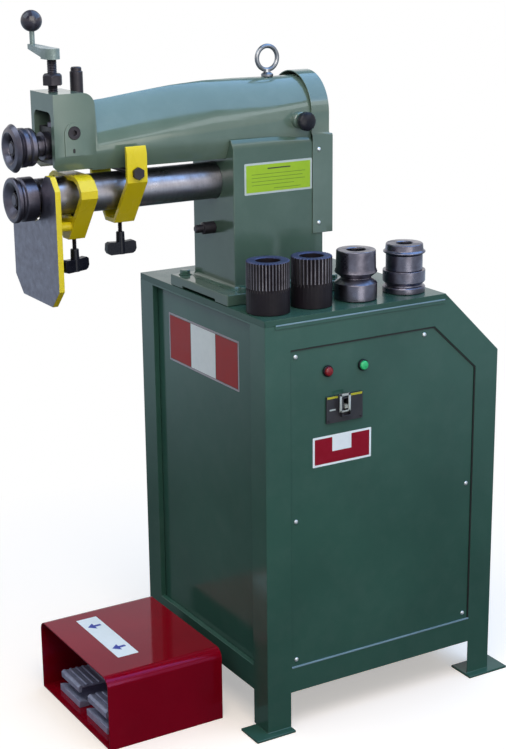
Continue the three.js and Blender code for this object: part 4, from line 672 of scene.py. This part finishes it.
STACK = (
    ("bead_roll_lower", "spare_bead_lower", 248, SEAT_GAP, 19,
     [(40, 0), (42, 1.5), (42, 32), (41, 34), (30, 43), (30, 44)]),
    ("bead_roll_upper", "spare_bead_upper", 248, 44.6, 19,
     [(30, 0), (41, 9), (42, 10.5), (39.5, 18), (38.7, 51.5), (37.5, 53.5)]),
    ("ring_roll_lower", "spare_ring_lower", 364, SEAT_GAP, 16.5,
     [(41.5, 0), (42.5, 1), (42.5, 11), (41, 13), (37, 14), (37, 17), (42, 22), (42.5, 23),
      (42.5, 44), (42, 45)]),
    ("ring_roll_upper", "spare_ring_upper", 364, 45.6, 16.5,
     [(36.7, 0), (36.7, 31), (42, 35), (42, 37), (38, 40), (37, 51), (35.5, 52.5)]),
)
for node, body, place, low, bore, profile in STACK:
    top = profile[-1][1]
    inner = [(bore + 1.5, top), (bore, top - 1.5), (bore, 1)]
    turned(node + "_finish", [(bore, 1), (bore + 1, 0)] + profile + inner,
           "Z", (SPARE_LINE, place, CABINET_TOP + low), SPARE_STEEL,
           body, [node], 96, 0.5)

# Fasteners


def pan_head(bm, axis, centre, radius, outward):
    """Domed screw head with a round dimple in its middle; its foot is sunk in the sheet."""
    sunk = -0.8
    profile = [(0, sunk), (radius, sunk), (radius, radius * 0.12), (radius * 0.9, radius * 0.34),
               (radius * 0.68, radius * 0.52), (radius * 0.4, radius * 0.6),
               (radius * 0.3, radius * 0.35), (0, radius * 0.2)]
    spun(bm, [(r, t * outward) for r, t in profile], axis, centre, 20)


def screws(name, places, radius, material, axis, outward):
    """One piece with a screw head at each place."""
    bm = bmesh.new()
    for centre in places:
        pan_head(bm, axis, centre, radius, outward)
    seat(made_object(name, bm, material, 40.0), "machine_frame")


PANEL_SCREWS = [(69, 776), (371, 777), (69, 443), (486, 442), (486, 149), (69, 149)]
for name, side in (("control_panel_screws", 1), ("left_panel_screws", -1)):
    screws(name, [(PANEL_FACE * side, y, z) for y, z in PANEL_SCREWS],
           4.6, ZINC, "X", side)
screws("rear_panel_screws", [(x, REAR_SKIN, z) for x in (-188, 188) for z in (145, 400, 657)],
       4.6, ZINC, "Y", 1)
for name, side in (("gear_cover_screws", -1), ("gear_cover_near_screws", 1)):
    screws(name, [(COVER_FACE * side, 231, z) for z in (1137, 991)], 4.0, ZINC, "X", side)
screws("switch_screws", [(SWITCH_FACE, y, 637) for y in (142, 216.6)],
       2.2, BLACKENED, "X", 1)


def hex_bolt(bm, x, y, z, radius, height, washer):
    """Hexagon bolt head on a round washer."""
    spun(bm, [(0, 0), (washer, 0), (washer, 2.2), (0, 2.2)], "Z", (x, y, z), 32)
    spun(bm, [(0, 2), (radius, 2), (radius, height), (radius * 0.86, height + 1.2),
              (0, height + 1.2)], "Z", (x, y, z), 6)


bolts = bmesh.new()
for x, y in ((-98, 24), (101, 46), (-98, 252), (101, 252)):
    hex_bolt(bolts, x, y, BASE_TOP, 10.5, 8.5, 13)
seat(made_object("base_bolts", bolts, CABINET, 32.0, 0.5), "machine_frame")


def weld_bead():
    """Painted fillet weld round the foot of the column."""
    bm = bmesh.new()
    leg = 8.5
    corners = [(-COLUMN_HALF, COLUMN_FRONT), (COLUMN_HALF, COLUMN_FRONT),
               (COLUMN_HALF, COLUMN_REAR - 1), (-COLUMN_HALF, COLUMN_REAR - 1)]
    signs = [(-1, -1), (1, -1), (1, 1), (-1, 1)]
    low = BASE_TOP + 0.05
    rings = []
    for reach, z in ((0.1, low), (leg, low), (leg * 0.62, low + leg * 0.12),
                     (leg * 0.3, low + leg * 0.32), (leg * 0.1, low + leg * 0.64),
                     (0.1, low + leg)):
        rings.append([bm.verts.new(at(x + sx * reach, y + sy * reach, z))
                      for (x, y), (sx, sy) in zip(corners, signs)])
    for first, second in zip(rings, rings[1:] + rings[:1]):
        for i in range(4):
            j = (i + 1) % 4
            bm.faces.new((first[i], first[j], second[j], second[i]))
    # The weld takes the column's darker copy of the green, painted shade.
    seat(made_object("column_weld", bm, SHADED_COLUMN_PAINT, 50.0), "machine_frame")


weld_bead()


def opening_shadow_strip(side):
    """Black strip of painted shadow along the top and rear edges of a side opening, in the panel's
    corner.
    """
    bm = bmesh.new()
    outer = [(57, 791), (394, 791), (501, 692), (501, 133)]
    inner = [(57, 788.4), (393, 788.4), (498.2, 690.9), (498.2, 133)]
    x0 = PANEL_FACE * side
    prism(bm, outer + inner[::-1], "X", x0, x0 + 2.2 * side)
    seat(made_object(HAND[side] + "_opening_shadow_strip", bm, PAINTED_SHADOW, 32.0),
         "machine_frame")


def rail_step(side):
    """Narrow step along the top of the side rail, with a lip just below the top plate, pale as a
    painted highlight.
    """
    bm = bmesh.new()
    block(bm, (SIDE * side, (SIDE + 1.8) * side), (22, 418), (836, 845.2))
    step = set(bm.faces)
    block(bm, ((SIDE + 1.5) * side, (SIDE + 2.6) * side), (23, 417), (842.2, 845.0))
    for face in bm.faces:
        face.material_index = int(face not in step)
    seat(made_object(HAND[side] + "_rail_step", bm, [CABINET, HIGHLIGHT_PAINT], 32.0, 0.4),
         "machine_frame")


def sill_edge(side):
    """Lip along the foot of a side opening, on the lower rail, pale as a painted highlight; it
    reads as a thin line.
    """
    bm = bmesh.new()
    block(bm, sorted(((PANEL_FACE + 0.1) * side, (SIDE + 0.9) * side)), (57, 501), (132.2, 135.4))
    seat(made_object(HAND[side] + "_sill_edge", bm, HIGHLIGHT_PAINT, 32.0, 0.8),
         "machine_frame")


for side in (1, -1):
    opening_shadow_strip(side)
    rail_step(side)
    sill_edge(side)

# Labels: thin plates with plain fields


def plate(bm, material_index, axis, face, outward, u, v, thickness, corner=0.0):
    """A thin rounded plate on a face; u and v are its ranges on the two other axes."""
    (u0, u1), (v0, v1) = u, v
    r = max(corner, 0.01)
    outline = (arc(u1 - r, v0 + r, r, -90, 0, 3) + arc(u1 - r, v1 - r, r, 0, 90, 3)
               + arc(u0 + r, v1 - r, r, 90, 180, 3) + arc(u0 + r, v0 + r, r, 180, 270, 3))
    before = set(bm.faces)
    prism(bm, outline, axis, face + outward * 0.05, face + outward * (0.05 + thickness))
    for made in bm.faces:
        if made not in before:
            made.material_index = material_index


def label(name, parts, materials):
    """A label built up from plates; each part starts with its material's number."""
    bm = bmesh.new()
    for part in parts:
        plate(bm, *part)
    bmesh.ops.recalc_face_normals(bm, faces=bm.faces)
    seat(made_object(name, bm, materials, 32.0, tidy=False), "machine_frame")


FRONT_SKIN = 12.3
label("front_label", [
    (0, "Y", FRONT_SKIN, -1, (-151, 137), (687, 789), 0.25, 2),
    (3, "Y", FRONT_SKIN - 0.25, -1, (-147, 133), (691, 785), 0.1),
    (2, "Y", FRONT_SKIN - 0.35, -1, (-57, 44), (691.6, 784.4), 0.15),
    (1, "Y", FRONT_SKIN - 0.35, -1, (-146, -59), (692, 784), 0.15),
    (1, "Y", FRONT_SKIN - 0.35, -1, (46, 132), (692, 784), 0.15),
], [LABEL_GREY, LABEL_RED, LABEL_WHITE, LABEL_INK])
label("control_label", [
    (0, "X", PANEL_FACE, 1, (108, 245), (546, 607), 0.25, 1.5),
    (1, "X", PANEL_FACE + 0.25, 1, (112.5, 153), (550.5, 602.5), 0.2),
    (1, "X", PANEL_FACE + 0.25, 1, (198, 240.5), (550.5, 602.5), 0.2),
    (1, "X", PANEL_FACE + 0.25, 1, (153, 198), (550.5, 573), 0.2),
], [LABEL_WHITE, LABEL_CRIMSON])
ruled_lines = [
    (2, "X", COLUMN_HALF + 0.45, 1, (start, start + length), (z, z + 1.2), 0.1)
    for z, start, length in (
        (1098, 78, 122), (1091, 78, 116), (1084, 78, 122), (1077, 78, 96), (1069, 128, 62))]
label("column_label", [
    (0, "X", COLUMN_HALF, 1, (62, 216), (1060, 1121), 0.25, 2),
    (1, "X", COLUMN_HALF + 0.25, 1, (66, 212), (1064, 1117), 0.2),
    (3, "X", COLUMN_HALF + 0.45, 1, (114, 166), (1107.5, 1110), 0.1),
] + ruled_lines, [LABEL_SILVER, LABEL_LIME, LABEL_OLIVE, LABEL_INK])


def pedal_label():
    """White plate on the guard with a plain arrow over each treadle."""
    bm = bmesh.new()
    plate(bm, 0, "Z", GUARD_TOP, 1, (-136, 65), (-235, -189), 0.25, 1.5)
    white = set(bm.faces)
    for middle in (-94, 22):
        prism(bm, [(middle - 4, -198), (middle - 4, -212), (middle - 14, -212), (middle, -227),
                   (middle + 14, -212), (middle + 4, -212), (middle + 4, -198)],
              "Z", GUARD_TOP + 0.3, GUARD_TOP + 0.4)
    for face in bm.faces:
        face.material_index = int(face not in white)
    bmesh.ops.recalc_face_normals(bm, faces=bm.faces)
    seat(made_object("pedal_label", bm, [LABEL_WHITE, LABEL_BLUE], 32.0, tidy=False),
         "machine_frame")


pedal_label()
label("switch_strip", [
    (0, "X", SWITCH_FACE, 1, (138.5, 163), (681.3, 685.5), 0.25, 0.5),
    (0, "X", SWITCH_FACE, 1, (192.5, 219.8), (681.3, 685.5), 0.25, 0.5),
    (1, "X", SWITCH_FACE, 1, (144, 158), (657, 660), 0.25, 0.5),
], [LABEL_YELLOW, LABEL_SILVER])


def lock_frame():
    """Pale lock-off frame in front of the switch's guard."""
    bm = bmesh.new()
    face = PANEL_FACE + 12.6
    block(bm, (face, face + 1.6), (161.5, 166.5), (654, 691))
    block(bm, (face, face + 1.6), (181.5, 186.5), (654, 691))
    block(bm, (face, face + 1.6), (161.5, 186.5), (686, 691))
    block(bm, (face, face + 1.6), (161.5, 186.5), (654, 657))
    seat(made_object("lock_frame", bm, BRACKET, 32.0, 0.4), "machine_frame")


lock_frame()
# Dark plate of painted shade in place of the inside of the oil hole.
label("oil_hole", [(0, "X", 52.5, 1, (-281, -276.4), (1166.5, 1175), 0.2, 2.2)],
      [PAINTED_SHADOW])

# Camera at the photograph's viewing angle

AZIMUTH = math.radians(59.41)
ELEVATION = math.radians(16.09)
ROLL = math.radians(-0.63)
LENS = 75.9
CAMERA_PLACE = (2.6868, -1.5695, 1.5726)
forward = Vector((-math.sin(AZIMUTH) * math.cos(ELEVATION), math.cos(AZIMUTH) * math.cos(ELEVATION),
                  -math.sin(ELEVATION)))
across = Vector((math.cos(AZIMUTH), math.sin(AZIMUTH), 0.0))
upward = across.cross(forward)
right = math.cos(ROLL) * across + math.sin(ROLL) * upward
over = -math.sin(ROLL) * across + math.cos(ROLL) * upward
camera_data = bpy.data.cameras.new("camera")
camera_data.sensor_width = 36.0
camera_data.sensor_fit = "AUTO"
camera_data.lens = LENS
camera = bpy.data.objects.new("camera", camera_data)
bpy.context.scene.collection.objects.link(camera)
turn = Matrix((right, over, -forward)).transposed().to_4x4()
camera.matrix_world = Matrix.Translation(CAMERA_PLACE) @ turn
bpy.context.scene.camera = camera


# Studio: soft lamps, a pale floor and a white surround

def lamp(name, target, azimuth, elevation, distance, width, height, radiance, colour):
    """A soft box that looks at a target in the cabinet's frame; radiance 1 is white."""
    a, e = math.radians(azimuth), math.radians(elevation)
    direction = Vector((math.sin(a) * math.cos(e), -math.cos(a) * math.cos(e), math.sin(e)))
    data = bpy.data.lights.new(name, "AREA")
    data.shape = "RECTANGLE"
    data.size = width
    data.size_y = height
    data.energy = radiance * 4 * width * height
    data.color = colour
    made = bpy.data.objects.new(name, data)
    bpy.context.scene.collection.objects.link(made)
    facing = direction.to_track_quat("Z", "Y").to_matrix().to_4x4()
    made.matrix_world = Matrix.Translation(at(*target) + direction * distance) @ facing
    made.visible_camera = False


lamp("sky_box", (0, -40, 1150), 165, 57, 2.6, 4.1, 3.0, 2.3, (0.3, 0.55, 0.97))
lamp("rim_strip", (0, -150, 1080), 122, 20, 2.6, 1.5, 0.45, 1.3, (0.85, 0.93, 1.0))
lamp("head_box", (0, -250, 1250), 74, 34, 1.25, 1.1, 1.1, 3.4, (1.0, 0.96, 0.88))
lamp("side_box", (250, 150, 450), 88, 12, 2.2, 1.4, 1.2, 1.6, (1.0, 0.97, 0.88))
lamp("left_box", (0, -100, 1100), 335, 48, 2.0, 1.6, 1.4, 1.9, (0.78, 0.9, 1.0))

def bounced(tree, rays):
    """1 for a ray that left a shiny or clear surface, else 0."""
    return add(tree, "ShaderNodeMath", {
        0: rays["Is Glossy Ray"], 1: rays["Is Transmission Ray"]}, operation="MAXIMUM").outputs[0]


def ramp(tree, value, start, end, **settings):
    """0 to 1 over a range of a value."""
    return add(tree, "ShaderNodeMapRange", {
        "Value": value, "From Min": start, "From Max": end}, **settings).outputs["Result"]


world = bpy.data.worlds.new("surround")
bpy.context.scene.world = world
world.use_nodes = True
world.node_tree.nodes.clear()
tree = world.node_tree
rays = add(tree, "ShaderNodeLightPath").outputs
mirrored = bounced(tree, rays)
heading = add(tree, "ShaderNodeTexCoord").outputs["Generated"]
height = add(tree, "ShaderNodeSeparateXYZ", {0: heading}).outputs["Z"]
ceiling = ramp(tree, height, 0.33, 0.55, interpolation_type="SMOOTHSTEP")
backdrop = mixed(tree, ceiling, (1.0, 1.0, 1.0, 1.0), (0.2, 0.25, 0.3, 1.0))
ambient = add(tree, "ShaderNodeBackground", {
    "Color": (0.8, 0.9, 1.0, 1.0), "Strength": 0.32}).outputs[0]
shown = add(tree, "ShaderNodeBackground", {"Color": backdrop, "Strength": 1.0}).outputs[0]
white = add(tree, "ShaderNodeBackground", {
    "Color": (1.0, 1.0, 1.0, 1.0), "Strength": 1.0}).outputs[0]
blend = add(tree, "ShaderNodeMixShader", {0: mirrored, 1: ambient, 2: shown}).outputs[0]
blend = add(tree, "ShaderNodeMixShader", {0: rays["Is Camera Ray"], 1: blend, 2: white}).outputs[0]
add(tree, "ShaderNodeOutputWorld", {"Surface": blend})

floor_mesh = bmesh.new()
bmesh.ops.create_circle(floor_mesh, cap_ends=True, segments=64, radius=30.0)
floor_material, tree, place = surface("pale_studio_floor")
reach = add(tree, "ShaderNodeVectorMath", {0: place}, operation="LENGTH").outputs["Value"]
far = ramp(tree, reach, 0.4, 1.3)
rays = add(tree, "ShaderNodeLightPath").outputs
pale = add(tree, "ShaderNodeBsdfDiffuse", {"Color": linear("#f0dccb")}).outputs[0]
lift = add(tree, "ShaderNodeEmission", {"Color": (1, 1, 1, 1), "Strength": 0.4}).outputs[0]
near = add(tree, "ShaderNodeAddShader", {0: pale, 1: lift}).outputs[0]
white = add(tree, "ShaderNodeEmission", {"Color": (1, 1, 1, 1), "Strength": 1.0}).outputs[0]
seen_floor = add(tree, "ShaderNodeMixShader", {0: far, 1: near, 2: white}).outputs[0]
grey = add(tree, "ShaderNodeBsdfDiffuse", {"Color": linear("#7d7c7a")}).outputs[0]
# In reflections the floor glows: painted shade near the machine that turns to a pale blue painted
# lit floor further out.
distant = ramp(tree, reach, 1.2, 3.2)
painted_floor_shade = mixed(tree, distant, (0.12, 0.14, 0.15, 1.0), (0.6, 0.72, 0.85, 1.0))
reflected = add(tree, "ShaderNodeEmission", {"Color": painted_floor_shade, "Strength": 1.0}).outputs[0]
mirrored = bounced(tree, rays)
unseen = add(tree, "ShaderNodeMixShader", {0: mirrored, 1: grey, 2: reflected}).outputs[0]
whole = add(tree, "ShaderNodeMixShader", {0: rays["Is Camera Ray"], 1: unseen, 2: seen_floor})
add(tree, "ShaderNodeOutputMaterial", {"Surface": whole.outputs[0]})
floor = bpy.data.meshes.new("floor")
floor_mesh.to_mesh(floor)
floor_mesh.free()
floor.materials.append(floor_material)
ground = bpy.data.objects.new("floor", floor)
bpy.context.scene.collection.objects.link(ground)

bpy.context.scene.view_settings.view_transform = "Standard"
